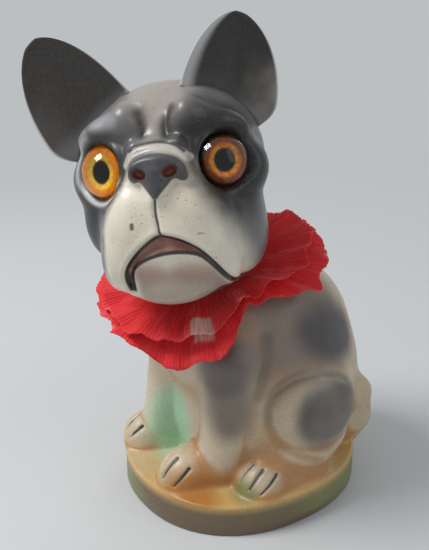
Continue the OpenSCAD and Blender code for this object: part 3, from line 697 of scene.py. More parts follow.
def makeHead():
    # rays from the middle of the head, from the crown down to the neck, with a hole where each ear grows out
    n = head["columns"]
    turns = crowdedTurns(n, 270, 60, 0.6)
    a = np.radians(turns)
    last = 180 - math.degrees(math.atan2(neck["rimR"] + 1, neck["headReach"] - neck["rimGap"] - 1.5))
    few = (head["rows"] - head["faceRows"]) // 2
    tilts = np.concatenate([np.linspace(0, 30, few + 1)[1:], np.linspace(30, 115, head["faceRows"] + 1)[1:],
                            np.linspace(115, last, head["rows"] - head["faceRows"] - few + 1)[1:]])
    t = np.radians(tilts)[:, None]
    out = np.cos(a)[:, None] * crownSide + np.sin(a)[:, None] * crownBack
    dirs = np.sin(t)[..., None] * out + np.cos(t)[..., None] * crownDir
    skin = dirs * marched(headGap, np.zeros(3), dirs, head["rayFrom"])[..., None]
    skin = evened(withEyes(skin + dirs * faceRelief(skin)[..., None]), 2, np.full(skin.shape[:2], 0.6))
    atEyes = np.minimum(eyeFrame(skin, 1)[0], eyeFrame(skin, -1)[0])
    skin = evened(skin, 6, 0.8 * smoothStep(-np.abs(atEyes - 12.5), -3.5, -1.5) * (skin[..., 1] < 2))

    def ring(r, w):
        return (w - neck["headReach"]) * crownDir + r * out

    rimR, boreR, gap, deep = neck["rimR"], neck["boreR"], neck["rimGap"], head["boreDeep"]
    rim = [ring(r, gap + w) for r, w in ((rimR - 0.5, 0.6), (rimR - 1.1, 0), (boreR + 0.6, 0), (boreR, 0.6),
                                         (boreR, deep / 2), (boreR, deep))]
    rings = np.concatenate([skin, np.stack(rim)])
    top = crownDir * marched(headGap, np.zeros(3), crownDir[None], head["rayFrom"])[0]
    points = [rings.reshape(-1, 3), [top], [(gap + deep - neck["headReach"]) * crownDir]]
    count = len(rings)
    quads = gridFaces(count, n, True)
    tris = tipFaces(count, n, True)
    row, column = quads[:, 3] // n, quads[:, 3] % n
    total = count * n + 2
    keep = np.ones(len(quads), bool)
    earQuads, earMasks = [], []
    for name in ("left", "right"):
        e = ears[name]
        i0, i1 = [int(np.abs(tilts - x).argmin()) for x in e["hole"][:2]]
        k0, k1 = [int(np.abs(turns - 360 - x).argmin()) for x in e["hole"][2:]]
        keep &= ~((row >= i0) & (row < i1) & (column >= k0) & (column < k1))
        loop = ([i0 * n + k for k in range(k0, k1)] + [i * n + k1 for i in range(i0, i1)]
                + [i1 * n + k for k in range(k1, k0, -1)] + [i * n + k0 for i in range(i1, i0, -1)])
        m = len(loop)
        angle = np.pi + e["side"] * 2 * np.pi * (np.arange(m) - (k1 - k0) / 2) / m
        along = unit(e["along"])
        facing = turnZ(e["open"]) @ np.array([0, -1, 0])
        facing = unit(facing - along * (facing @ along))
        wide = -e["side"] * np.cross(facing, along)
        u = np.cos(angle)
        foot = e["foot"] * (1 - np.maximum(u, 0) ** 1.5) * 0.7
        share = (np.arange(ears["rows"]) / ears["rows"])[:, None] ** 0.85
        v = foot + (1 - foot) * share
        blunt = 1 - 0.32 * np.clip(1 - (v - 0.02) / 0.27, 0, 1) ** 2 * np.maximum(u, 0)
        h = blunt * ears["half"] * np.maximum(1 - v ** 2.6, 0) ** 0.62
        thick = ears["thick"] / 2 * (1.1 - 0.6 * v)
        across = h * u * (1 + ears["swell"] * np.maximum(u, 0))
        forward = ears["cup"] * (u * u - 0.4) * h / ears["half"] + thick * np.sin(angle)
        p = (np.array(e["root"]) + (e["length"] * v)[..., None] * along + across[..., None] * wide
             + forward[..., None] * facing)
        flare = ears["flare"] * np.exp(-np.maximum(headGap(p), 0) / 2.2) * np.sin(angle)
        p += flare[..., None] * facing
        earMasks.append((u + 0 * v, v, np.sin(angle) + 0 * v, e["side"]))
        index = np.concatenate([[loop], total + np.arange(ears["rows"] * m).reshape(-1, m)])
        nxt = np.roll(index, -1, 1)
        q = np.stack([index[:-1], nxt[:-1], nxt[1:], index[1:]], -1).reshape(-1, 4)
        earQuads.append(q[:, ::-1])
        points += [p.reshape(-1, 3), [np.array(e["root"]) + e["length"] * along]]
        tris.append(fanFaces(total + ears["rows"] * m, index[-1], True))
        total += ears["rows"] * m + 1
    points = np.concatenate(points)
    quads = np.concatenate([quads[keep]] + earQuads)
    tris = np.concatenate(tris)
    masks = headMasks(points, count * n + 2, earMasks)
    return meshFrom("paintedHead", points @ headTurn.T + headAt, quads, tris, masks)


def headMasks(p, earStart, earMasks):
    # distances to the lines of the face, soft patches, and each ear's own two parameters
    x, y, z = p.T
    skull = np.arange(len(p)) < earStart

    def onFace(values, front=-14):
        return np.where(skull & (y < front), values, 30.0)

    def soft(at, r, low, high):
        # 1 inside a soft egg, 0 outside
        return smoothStep(-eggGap(p, at, r), low, high)

    leftOut, rightOut = [eyeFrame(p, s)[0] for s in (1, -1)]
    earU, earV, earFront, earIn = np.zeros((4, len(p)))
    start = earStart
    for u, v, front, side in earMasks:
        size = u.size
        for mask, values in ((earU, u), (earV, v), (earFront, front)):
            mask[start:start + size] = values.ravel()
        # the left ear's inner edge is rolled back and shows a wide pale band; the right ear's is dark
        # right up to the edge
        inner = smoothStep(u, -0.9, -0.62) if side > 0 else 1
        dark = smoothStep(front, 0.05, 0.3) * inner * smoothStep(-u, -0.985, -0.94)
        earIn[start:start + size] = dark.ravel()
        earV[start + size] = 1
        start += size + 1
    return {
        "isEar": (~skull).astype(float), "earU": earU, "earV": earV, "earFront": earFront, "earIn": earIn,
        "eyeOut": onFace(np.minimum(leftOut, rightOut), 2), "eyeLeftOut": onFace(leftOut, 2),
        "muzzle": onFace(outlineGap(x, z, face["muzzle"]), -6), "nose": onFace(outlineGap(x, z, face["nose"]), -26),
        "nostril": onFace(nostrilGap(x, z), -26), "mouth": onFace(outlineGap(x, z, face["mouth"]), -18),
        **{name: onFace(flatLineGap(x, z, face[name]))
           for name in ("lipTop", "lipLow", "philtrum", "rollCrease", "roll")},
        "furrow": onFace(np.minimum(flatLineGap(x, z, face["furrowRight"]),
                                    flatLineGap(x, z, face["furrowLeft"]) + 0.4)),
        "stripe": np.where(skull, outlineGap(x, z, face["stripe"]) + np.maximum(y + 2, 0), 30.0),
        "sidelong": x, "height": z,
        "lidBelow": swellingAt(rightOut - 11.5, 0.9) * (y < -8) * skull
        * smoothStep(-(z - head["eyeAt"][2]) / np.maximum(rightOut, 1), 0.1, 0.5),
        # painted highlight along the ridge outside the right eye
        "lidRidgeHighlight": swellingAt(rightOut - 12.6, 1.1) * smoothStep(-x, 24, 30) * smoothStep(z, -2, 4) * (y < 2),
        # below the mouth: partly the chin's own paint, partly painted shade under the jaw
        "chin": smoothStep(-z - 0.06 * x, 27, 33) * skull * smoothStep(-y, -6, 0) * smoothStep(x, -13, -10)
        * smoothStep(17 + 0.6 * (-30 - z) - x, -1, 2),
        "pinkChin": np.maximum(soft((-7, -32, -30.5), (6, 9, 3.5), -3.5, 3),
                               soft((9, -31, -31), (8, 9, 3.5), -3.5, 3)),
        # painted highlight on the brow ridges
        "browHighlight": np.maximum(soft((-19.5, -25, 23.5), (7.5, 6, 3), -2, 2),
                                0.7 * soft((-30, -19, 20), (5, 6, 3), -2, 2)),
        "cheek": soft((-32, -12, -16), (12, 16, 16), -3, 3),
        "chip": lineGap(p, [(-9.8, -38.1, -12.8), (-9.9, -38.1, -13.9)]),
        "scratch": lineGap(p, [(11.8, -38, -18.8), (13.3, -37.1, -17.6), (14.8, -36.4, -17.9)]),
        "spot": lineGap(p, [(12.2, -35.3, -25.2), (12.2, -35.3, -26)]),
    }


# the crepe paper ruff: two torn, gathered plies
ruff = {
    "inner": 20.6, "upperR": 44, "lowerR": 46, "upperW": -1.9, "lowerW": -3.2, "folds": 11, "foldH": 4.2,
    "columns": 1440, "rows": 26, "crinkles": 210, "crinkleH": 0.3, "paper": 0.35, "tearing": 0.9,
    "flatWidth": 0.027,
}


def swell(a, middle, spread):
    # a bell round one turn
    off = np.abs((a - middle + 180) % 360 - 180)
    return np.exp(-off * off / spread ** 2)


def sinD(a):
    # sine of a turn in degrees
    return np.sin(np.radians(a))


def upperEdge(a):
    # radius and height of the torn edge at turn a: waves of three lengths and a few swellings
    ragged = 1.1 * sinD(7 * a + 390) + 0.8 * sinD(13 * a + 650) + 0.6 * sinD(23 * a + 1220)
    return (ruff["upperR"] + ragged - 7 * swell(a, 88, 28) + 3 * swell(a, 150, 30),
            -6 * swell(a, 42, 26) + 3 * swell(a, -105, 40))


def lowerEdge(a):
    # the same for the lower ply, which hangs over the shoulders
    ragged = 1.1 * sinD(7 * a + 40) + 0.8 * sinD(13 * a) + 0.6 * sinD(23 * a + 70)
    return (ruff["lowerR"] + ragged - 12 * swell(a, 92, 20) + 2 * swell(a, -50, 30) + 4 * swell(a, 150, 32),
            -4 - 15 * swell(a, 35, 16) - 8 * swell(a, 62, 13) - 9 * swell(a, 130, 28))


def aroundNeck(r, w, a):
    # points at radius r and turn a about the neck's axis, w along it
    return (neckAt + w[..., None] * neckDir
            + r[..., None] * (sinD(a)[..., None] * np.array([1, 0, 0]) - sinD(a + 90)[..., None] * neckBack))


def plyCurve(a, s, edgeOf, w, clear, seed):
    # radius and height of the paper at turn a and share s of its width: a sagging collar with soft folds,
    # fine crinkles that run outwards, and a torn edge
    edgeR, edgeW = edgeOf(a)
    lattice = np.stack([a * 0.9, 0 * a + seed, 0 * a], -1)
    edgeR = edgeR + ruff["tearing"] * (cloud(lattice, 0.45, seed) - 0.5) * 2 * np.clip(s - 0.75, 0, 1) * 4
    r = ruff["inner"] + (edgeR - ruff["inner"]) * s
    waves = 0.6 * sinD(ruff["folds"] * a + 60 * sinD(3 * a + seed * 40)) + 0.4 * sinD(23 * a + 70 * sinD(2 * a))
    fold = ruff["foldH"] / 2 * s * waves
    jitter = cloud(np.stack([a * 0.12, s * 2.5, 0 * a + seed], -1), 1.0, seed)
    ripples = sinD(ruff["crinkles"] * a + 900 * jitter) + 0.6 * sinD(97 * a + 700 * jitter)
    crinkle = ruff["crinkleH"] * (1.25 - 0.5 * s) * ripples * (0.25 + 1.2 * jitter ** 2)
    drop = w + (edgeW - w) * s ** 1.5 + fold + crinkle * np.clip(s * 4, 0, 1)
    for i in range(2):
        need = clear * np.minimum(1, 0.15 + s) + 0.3
        drop = drop + 1.15 * np.maximum(0, need - bodyGap(aroundNeck(r, drop, a)))
    return r, drop


def makePly(name, edgeOf, w, clear, seed):
    # the curve's sheet, half its thickness to each side along its normal, closed at the tie and at the torn edge
    n = ruff["columns"]
    a = np.linspace(0, 360, n, endpoint=False)[None, :] + 0 * np.linspace(0, 1, ruff["rows"])[:, None]
    s = np.linspace(0, 1, ruff["rows"])[:, None] + 0 * a
    r, drop = plyCurve(a, s, edgeOf, w, clear, seed)
    slope = np.arctan2(np.gradient(drop, axis=0), np.gradient(r, axis=0))
    half = ruff["paper"] / 2
    top = aroundNeck(r - half * np.sin(slope), drop + half * np.cos(slope), a)
    under = aroundNeck(r + half * np.sin(slope), drop - half * np.cos(slope), a)
    rings = np.concatenate([top, under[::-1]])
    count = len(rings)
    quads = gridFaces(count, n, True)
    first, after = np.arange(n), (np.arange(n) + 1) % n
    close = np.stack([first, after, (count - 1) * n + after, (count - 1) * n + first], -1)
    masks = {"share": np.concatenate([s, s[::-1]]), "turn": np.concatenate([a, a[::-1]])}
    obj = meshFrom(name, rings.reshape(-1, 3), np.concatenate([quads, close]), None, masks)
    cross = np.cross(top[1:] - top[:-1], np.roll(top, -1, 1)[:-1] - top[:-1])
    area = np.linalg.norm(cross, axis=-1).sum() * mm * mm
    print(name, "area", round(float(area), 5), "flat", round(float(area / ruff["flatWidth"]), 4), ruff["flatWidth"])
    return obj, area


plies = {}
for name, edgeOf, w, clear, seed, node in (("upperRuffPly", upperEdge, ruff["upperW"], 2.6, 3, "ruff_upper"),
                                           ("lowerRuffPly", lowerEdge, ruff["lowerW"], 1, 8, "ruff_lower")):
    ply, plyArea = makePly(name, edgeOf, w, clear, seed)
    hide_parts(node)
    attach(ply, "figure")
    plies[node] = ply
print("ruff made")

# the neck spring: one coil in two halves that meet in the middle
spring = {
    "wireR": 0.8, "r": 8.5, "curls": 7, "halfAt": 3.6, "foot": -11.1, "pitch": 4.7, "rings": 48, "sides": 14,
    "bendFrom": -10.2, "middle": 3.5, "bendTo": 16.2,  # heights along the neck's axis
}


def makeCoil(name, first, last):
    # the wire lies flat for half a curl at each end and climbs evenly between
    u = np.linspace(first, last, int((last - first) * spring["rings"]) + 1)
    turn = 2 * np.pi * u
    climb = spring["foot"] + spring["pitch"] * np.clip(u - 0.5, 0, spring["curls"] - 1)
    out = np.stack([np.cos(turn), np.sin(turn), np.zeros_like(u)], -1)
    line = out * spring["r"] + np.stack([0 * u, 0 * u, climb], -1)
    along = np.gradient(line, axis=0)
    along /= np.linalg.norm(along, axis=-1, keepdims=True)
    side = out - along * np.sum(out * along, -1)[:, None]
    side /= np.linalg.norm(side, axis=-1, keepdims=True)
    a = np.linspace(0, 2 * np.pi, spring["sides"], endpoint=False)[:, None]
    about = np.cos(a) * side[:, None] + np.sin(a) * np.cross(along, side)[:, None]
    rings = line[:, None] + spring["wireR"] * about
    points = np.concatenate([rings.reshape(-1, 3), line[:1], line[-1:]])
    points = neckAt + points @ np.stack([np.array([1, 0, 0]), neckBack, neckDir])
    n, count = spring["sides"], len(u)
    return meshFrom(name, points, gridFaces(count, n), np.concatenate(tipFaces(count, n)))


coils = []
for name, curls, bodies, fromW, toW in (
        ("springFoot", (0, spring["halfAt"]), ("figure", "spring"), spring["bendFrom"], spring["middle"]),
        ("springTop", (spring["halfAt"], spring["curls"]), ("spring", "neck_top"), spring["middle"],
         spring["bendTo"])):
    coil = makeCoil(name, *curls)
    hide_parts("neck_spring")
    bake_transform(coil)
    coils.append(coil)
print("spring made")

headObj = makeHead()
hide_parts("head_casting")
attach(headObj, "head")
print("head made")

# paints, as linear colours
paint = {
    "cream": (0.67, 0.58, 0.42), "buff": (0.56, 0.45, 0.30), "orange": (0.45, 0.18, 0.03),
    "ledge": (0.58, 0.37, 0.12), "soot": (0.060, 0.056, 0.062), "blotch": (0.105, 0.093, 0.092),
    "taupe": (0.23, 0.185, 0.14), "mint": (0.40, 0.66, 0.45), "olive": (0.17, 0.20, 0.055),
    "clay": (0.125, 0.07, 0.04), "stroke": (0.03, 0.04, 0.04), "umber": (0.22, 0.17, 0.12),
    "armpit": (0.10, 0.075, 0.06), "slate": (0.14, 0.136, 0.134), "paleSlate": (0.19, 0.187, 0.185),
    "black": (0.012, 0.012, 0.014), "muzzle": (0.80, 0.745, 0.61), "wornMuzzle": (0.66, 0.59, 0.46),
    "beige": (0.36, 0.325, 0.28), "brow": (0.38, 0.385, 0.40), "chin": (0.36, 0.27, 0.21),
    "darkChin": (0.21, 0.18, 0.155), "mouth": (0.23, 0.075, 0.05), "paleMouth": (0.32, 0.15, 0.12),
    "mouthEnd": (0.02, 0.015, 0.012), "pink": (0.42, 0.22, 0.17), "lip": (0.022, 0.026, 0.020),
    "philtrum": (0.04, 0.04, 0.045), "roll": (0.50, 0.48, 0.42), "rollCrease": (0.02, 0.02, 0.022),
    "nose": (0.055, 0.056, 0.062), "paleNose": (0.085, 0.087, 0.095), "nostril": (0.21, 0.05, 0.03),
    "chipped": (0.20, 0.14, 0.07), "inEar": (0.020, 0.017, 0.015), "earBack": (0.30, 0.30, 0.31),
    "earWear": (0.05, 0.043, 0.038), "dusty": (0.33, 0.31, 0.28), "chalk": (0.62, 0.62, 0.60),
    "grime": (0.25, 0.2, 0.15), "speck": (0.17, 0.12, 0.07),
}


def specks(f, scale, size, share):
    # small round dots in some of the cells of a lattice
    dots = f.ramp(f.cells(scale), size, size * 0.5)
    some = f.ramp(f.noise(scale * 0.13, 2), 0.5, 0.62, 0, share)
    return f.times(dots, some)


def bodyPaint():
    # cream plaster, airbrushed in soft patches, with orange in the folds and a dark, streaked ledge, and painted
    # shade under the ruff and in the armpit
    f = Finish("bodyPaint")
    cloudy, grain, fine = f.noise(26, 3), f.noise(120, 4, 0.6), f.noise(700, 3, 0.7)
    drift = f.times(f.centred(cloudy), 0.55)

    def soft(mask, strength):
        # an airbrushed patch: its mask, pushed about by the cloud, so that its border wanders
        pushed = f.plus(f.mask(mask), f.times(drift, f.maskRamp(mask, 0, 0.4)))
        return f.math("MULTIPLY", pushed, strength, clamp=True)

    colour = f.mix(f.ramp(cloudy, 0.3, 0.7), paint["cream"], paint["buff"])
    ledge = f.times(f.maskRamp("high", 21, 13.5), f.maskRamp("high", 10.5, 13.2))
    colour = f.mix(f.times(ledge, f.ramp(cloudy, 0.3, 0.6, 0.35, 0.95)), colour, paint["ledge"])
    colour = f.mix(soft("web", 1.0), colour, paint["mint"])
    # taupe haze: partly airbrushed grey-brown, partly painted shade just under the ruff
    colour = f.mix(soft("hazeAndRuffShade", 0.95), colour, paint["taupe"])
    folds = f.times(f.maskRamp("crease", 0.5, 1.9), f.maskRamp("high", 45, 24, 0.25, 0.8))
    colour = f.mix(f.times(folds, f.maskRamp("web", 0.1, 0.7, 1, 0)), colour, paint["orange"])
    edge = f.times(f.maskRamp("haunch", 3.5, 0.6), f.ramp(cloudy, 0.25, 0.6, 0.3, 0.75))
    colour = f.mix(edge, colour, f.mix(f.maskRamp("high", 50, 34), paint["umber"], paint["orange"]))
    # painted shade: a dark line along the armpit crease
    colour = f.mix(f.maskRamp("armpit", 5.5, 0.8, 0, 0.5), colour, paint["armpit"])
    for mask, strength, name in (("ledge", 0.9, "orange"), ("shoulder", 0.85, "blotch"), ("thigh", 0.95, "blotch"),
                                 ("thighRim", 0.55, "soot"), ("flank", 0.95, "soot"), ("greenToe", 0.75, "olive")):
        colour = f.mix(soft(mask, strength), colour, paint[name])
    wall = f.mix(f.ramp(f.noise(30, 4, 0.6, f.stretched(1, 1, 5)), 0.42, 0.68), paint["olive"], paint["clay"])
    front = f.ramp(f.math("ABSOLUTE", f.plus(f.mask("round"), 45.0)), 58, 30)
    wall = f.mix(f.times(front, 0.8), wall, paint["clay"])
    wall = f.mix(f.times(f.maskRamp("high", 9.5, 13), 0.6), wall, paint["ledge"])
    colour = f.mix(f.maskRamp("high", 13.9, 12.2, 0, 0.92), colour, wall)
    colour = f.mix(f.maskRamp("toeGap", 0.75, 0.25), colour,
                   f.mix(f.ramp(grain, 0.45, 0.7), paint["stroke"], paint["dusty"]))
    colour = f.mix(f.ramp(fine, 0.35, 0.75, 0, 0.16), colour, paint["clay"])
    colour = f.mix(specks(f, 420, 0.16, 0.8), colour, paint["clay"])
    skin = f.plus(f.times(grain, 0.5), f.times(fine, 0.3))
    return f.finish(Base_Color=colour, Roughness=f.ramp(grain, 0.3, 0.7, 0.36, 0.52),
                    Normal=f.bump(skin, 0.0003, 0.5), Coat_Weight=0.2, Coat_Roughness=0.28)


def headPaint():
    # charcoal with a cream muzzle: soft fields with painted highlights and shade first, then what was drawn with a
    # brush, then the ears
    f = Finish("headPaint")
    cloudy, grain, fine = f.noise(34, 3), f.noise(150, 4, 0.6), f.noise(800, 3, 0.7)
    wander = f.times(f.centred(grain), 3.2)

    def line(mask, width, soft=0.45):
        # 1 on a painted line of this half width, with a slightly uneven edge
        return f.ramp(f.plus(f.mask(mask), f.times(wander, 0.09)), width + soft, width - soft)

    colour = f.mix(f.ramp(cloudy, 0.3, 0.7), paint["slate"], paint["paleSlate"])
    stripe = f.plus(f.mask("stripe"), f.times(wander, 1.2))
    colour = f.mix(f.ramp(stripe, 6, -5, 0, 0.95), colour,
                   f.mix(f.ramp(f.noise(2600, 2), 0.5, 0.7, 0, 0.55), paint["beige"], paint["slate"]))
    colour = f.mix(f.maskRamp("eyeLeftOut", 28, 16, 0, 0.95), colour, paint["black"])
    colour = f.mix(f.maskRamp("eyeOut", 20, 11.5, 0, 0.85), colour, paint["black"])
    colour = f.mix(f.times(f.mask("cheek"), 0.95), colour, paint["black"])
    # painted highlight: paler grey on the brow ridges
    colour = f.mix(f.times(f.mask("browHighlight"), 0.6), colour, paint["brow"])
    # painted shade in the forehead furrows
    colour = f.mix(f.times(line("furrow", 1.6, 1.5), 0.85), colour, paint["black"])
    muzzle = f.plus(f.mask("muzzle"), wander)
    border = f.maskRamp("sidelong", -6, 10, 1.6, 5.5)
    colour = f.mix(f.ramp(f.math("DIVIDE", muzzle, border), 1.0, -0.8), colour,
                   f.mix(f.ramp(cloudy, 0.35, 0.75), paint["muzzle"], paint["wornMuzzle"]))
    colour = f.mix(f.times(f.mask("lidBelow"), 0.95), colour, paint["chalk"])
    # painted highlight: a pale line on the ridge beside the right eye
    colour = f.mix(f.times(f.mask("lidRidgeHighlight"), 0.75), colour, paint["chalk"])
    # tan and grey-brown below the mouth: partly the chin's own paint, partly painted shade on the jaw's underside
    colour = f.mix(f.times(f.mask("chin"), 0.75), colour,
                   f.mix(f.ramp(cloudy, 0.42, 0.6), paint["chin"], paint["darkChin"]))
    colour = f.mix(f.times(f.mask("pinkChin"), 0.6), colour, paint["pink"])
    colour = f.mix(f.maskRamp("mouth", 0.5, -0.3), colour,
                   f.mix(f.ramp(grain, 0.4, 0.65), paint["mouth"], paint["paleMouth"]))
    inner = f.maskRamp("mouth", 1.0, 0.2)
    colour = f.mix(f.times(line("lipTop", 0.5, 0.35), inner), colour, paint["black"])
    colour = f.mix(f.times(line("lipLow", 0.8, 0.35), inner), colour, paint["lip"])
    colour = f.mix(f.times(f.maskRamp("mouth", 0.5, -0.1), f.maskRamp("height", -28.5, -31.5)), colour,
                   paint["mouthEnd"])
    colour = f.mix(line("philtrum", 0.45, 0.35), colour, paint["philtrum"])
    colour = f.mix(f.times(line("roll", 1.35, 0.5), 0.95), colour, paint["roll"])
    colour = f.mix(f.times(line("rollCrease", 0.5), 0.9), colour, paint["rollCrease"])
    colour = f.mix(f.maskRamp("nose", 0.5, -0.2), colour,
                   f.mix(f.ramp(grain, 0.3, 0.7), paint["nose"], paint["paleNose"]))
    colour = f.mix(f.maskRamp("nostril", 1.15, 0.75, 0, 0.9), colour, paint["nostril"])
    colour = f.mix(f.math("MAXIMUM", line("scratch", 0.3, 0.3), line("chip", 0.8, 0.3)), colour, paint["chipped"])
    colour = f.mix(line("spot", 0.35, 0.25), colour, paint["black"])
    # ears: black inside with a dusty patch low down, a chalky rim, and a grey back
    inside = f.mask("earIn")
    back = f.mix(f.maskRamp("earV", 0.3, 0.8), paint["slate"], paint["earBack"])
    ear = f.mix(inside, f.mix(f.maskRamp("earFront", -0.4, -0.05, 0, 0.8), back, paint["chalk"]), paint["inEar"])
    dust = f.times(f.maskRamp("earU", 0.2, 0.85), f.maskRamp("earV", 0.75, 0.45))
    dust = f.times(dust, f.maskRamp("sidelong", -5, 5, 0.12, 1.0))
    dust = f.times(f.times(dust, inside), f.ramp(cloudy, 0.35, 0.65, 0.1, 0.8))
    ear = f.mix(dust, ear, paint["dusty"])
    ear = f.mix(f.times(inside, f.ramp(grain, 0.5, 0.75, 0, 0.2)), ear, paint["earWear"])
    colour = f.mix(f.times(f.mask("isEar"), f.maskRamp("earV", 0.12, 0.3, 0.55, 1)), colour, ear)
    colour = f.mix(f.ramp(fine, 0.4, 0.78, 0, 0.2), colour, f.mix(0.5, colour, paint["grime"]))
    dots = f.math("MAXIMUM", specks(f, 520, 0.16, 0.85), specks(f, 1100, 0.23, 0.8))
    colour = f.mix(f.times(dots, f.maskRamp("isEar", 0, 1, 1, 0.25)), colour, paint["speck"])
    skin = f.plus(f.times(grain, 0.45), f.times(fine, 0.3))
    rough = f.plus(f.ramp(grain, 0.3, 0.7, 0.27, 0.42), f.times(f.mask("isEar"), 0.2))
    return f.finish(Base_Color=colour, Roughness=rough, Normal=f.bump(skin, 0.0003, 0.45), Specular_IOR_Level=0.45,
                    Coat_Weight=0.15, Coat_Roughness=0.18)


dress(bodyObj, bodyPaint())
dress(headObj, headPaint())

# the glass eyes: a clear dome, an enamel ring and an enamel disc
eye = {
    "r": 9.5, "domeH": 6, "back": 1.55, "columns": 128, "rows": 40, "pupilR": 2.8, "enamel": 0.6, "enamelAt": -1.5,
    "rimColour": (0.01, 0.006, 0.005), "pupilEdge": (0.05, 0.02, 0.01),
    # the left eye's enamels are darker copies of the right eye's: painted shade on the left eye
    "left": {"ring": (0.95, 0.30, 0.015), "amber": (0.26, 0.065, 0.010), "deep": (0.10, 0.028, 0.008), "dark": 7.6},
    "right": {"ring": (1.0, 0.66, 0.04), "amber": (0.98, 0.30, 0.002), "deep": (0.70, 0.15, 0.002), "dark": 8.4},
}


def turnedPiece(name, side, r, up, backAt=None, tipAt=None):
    # a profile turned about the eye's axis; its ends are closed at the axis, or joined to each other on a ring
    t = np.linspace(0, 2 * np.pi, eye["columns"], endpoint=False)
    middle, axis, aside = eyeSeat(side)
    r, up = np.array(r, float), np.array(up, float)
    rings = (middle + up[:, None, None] * axis + r[:, None, None]
             * (np.cos(t)[:, None] * side * aside + np.sin(t)[:, None] * np.array([0, 0, 1])))
    n, count = eye["columns"], len(r)
    points = rings.reshape(-1, 3)
    if backAt is None:
        quads = gridFaces(count + 1, n) % (count * n)
        return meshFrom(name, points @ headTurn.T + headAt, quads)
    points = np.concatenate([points, [middle + backAt * axis, middle + tipAt * axis]])
    tris = np.concatenate(tipFaces(count, n))
    return meshFrom(name, points @ headTurn.T + headAt, gridFaces(count, n), tris)


def makeEyeGlass(name, side):
    # the cap of a ball on a short straight rim and a flat back
    r, h, back = eye["r"], eye["domeH"], eye["back"]
    ball = (r ** 2 + h ** 2) / (2 * h)
    a = np.linspace(math.asin(r / ball), 0, eye["rows"], endpoint=False)
    out = np.concatenate([[r - 0.3, r - 0.08, r, r], ball * np.sin(a)])
    up = np.concatenate([[-back, -back + 0.08, -back + 0.3, -0.3], h - ball + ball * np.cos(a)])
    return turnedPiece(name, side, out, up, -back, h)


def makeEnamel(name, side, inner, outer):
    # a thin flat ring, or a disc where it reaches the axis
    low, high = eye["enamelAt"] - eye["enamel"], eye["enamelAt"]
    if inner > 0:
        return turnedPiece(name, side, [inner, outer, outer, inner], [low, low, high, high])
    return turnedPiece(name, side, [outer * 0.98, outer, outer, outer * 0.98], [low, low, high, high], low, high)


def eyeGlass():
    # plain clear glass with a few faint scuffs
    f = Finish("eyeGlass")
    return f.finish(Base_Color=(1, 1, 1), Roughness=f.ramp(f.noise(300, 2), 0.3, 0.7, 0.01, 0.04), IOR=1.5,
                    Transmission_Weight=1.0)


def fromEyeAxis(f, side):
    # distance from the eye's own axis in millimetres: the length of (place - middle) x axis
    middle, axis = eyeSeat(side)[:2]
    away = f.node("ShaderNodeVectorMath", operation="SUBTRACT")
    f.put(away.inputs[0], f.place)
    away.inputs[1].default_value = tuple((headTurn @ middle + headAt) * mm)
    across = f.node("ShaderNodeVectorMath", operation="CROSS_PRODUCT")
    f.put(across.inputs[0], away.outputs[0])
    across.inputs[1].default_value = tuple(headTurn @ axis)
    far = f.node("ShaderNodeVectorMath", operation="LENGTH")
    f.put(far.inputs[0], across.outputs[0])
    return f.times(far.outputs["Value"], 1000.0)


def irisEnamel(name, side):
    # amber, with a yellow ring round the pupil, dark streaks, and a darker outer rim; the left eye's copy is painted
    # darker, as painted shade
    f = Finish(name + "Iris")
    e = eye[name]
    out = f.plus(fromEyeAxis(f, side), f.times(f.centred(f.noise(500, 3)), 0.7))
    streak = f.noise(900, 4)
    colour = f.mix(f.ramp(out, 4.1, 5.4), e["ring"], e["amber"])
    colour = f.mix(f.ramp(streak, 0.4, 0.7, 0, 0.5), colour, e["deep"])
    colour = f.mix(f.ramp(out, e["dark"] - 1.4, e["dark"]), colour, tuple(c * 0.35 for c in e["deep"]))
    colour = f.mix(f.ramp(out, e["dark"] - 0.3, e["dark"] + 0.5), colour, eye["rimColour"])
    colour = f.mix(f.ramp(out, 3.5, 3.0), colour, eye["pupilEdge"])
    return f.finish(Base_Color=colour, Roughness=0.5, Specular_IOR_Level=0.0, Normal=f.bump(streak, 0.0002, 0.3))


def pupilEnamel():
    # a black that is nearly even
    f = Finish("pupilEnamel")
    black = f.mix(f.noise(600, 3), (0.001, 0.001, 0.001), (0.005, 0.003, 0.002))
    return f.finish(Base_Color=black, Roughness=0.8, Specular_IOR_Level=0.0)


def plainFinish(name, a, b, scale, rough, metal=0.0):
    # two colours mixed by one noise, which also roughens the surface
    f = Finish(name)
    n = f.noise(scale, 4)
    return f.finish(Base_Color=f.mix(n, a, b), Roughness=f.ramp(n, 0.3, 0.7, rough, rough + 0.15), Metallic=metal,
                    Normal=f.bump(n, 0.0002, 0.4))


crepe = {
    "red": (0.70, 0.008, 0.014), "faded": (0.86, 0.03, 0.035), "crinkle": (0.86, 0.07, 0.06),
    "rubbed": (0.72, 0.47, 0.42), "edge": (0.80, 0.42, 0.38), "sheen": (1.0, 0.5, 0.45),
    "rubbedAt": {"ruff_upper": (53.0, 0.85), "ruff_lower": (52.0, 0.5)},  # turn, and share of the width
}


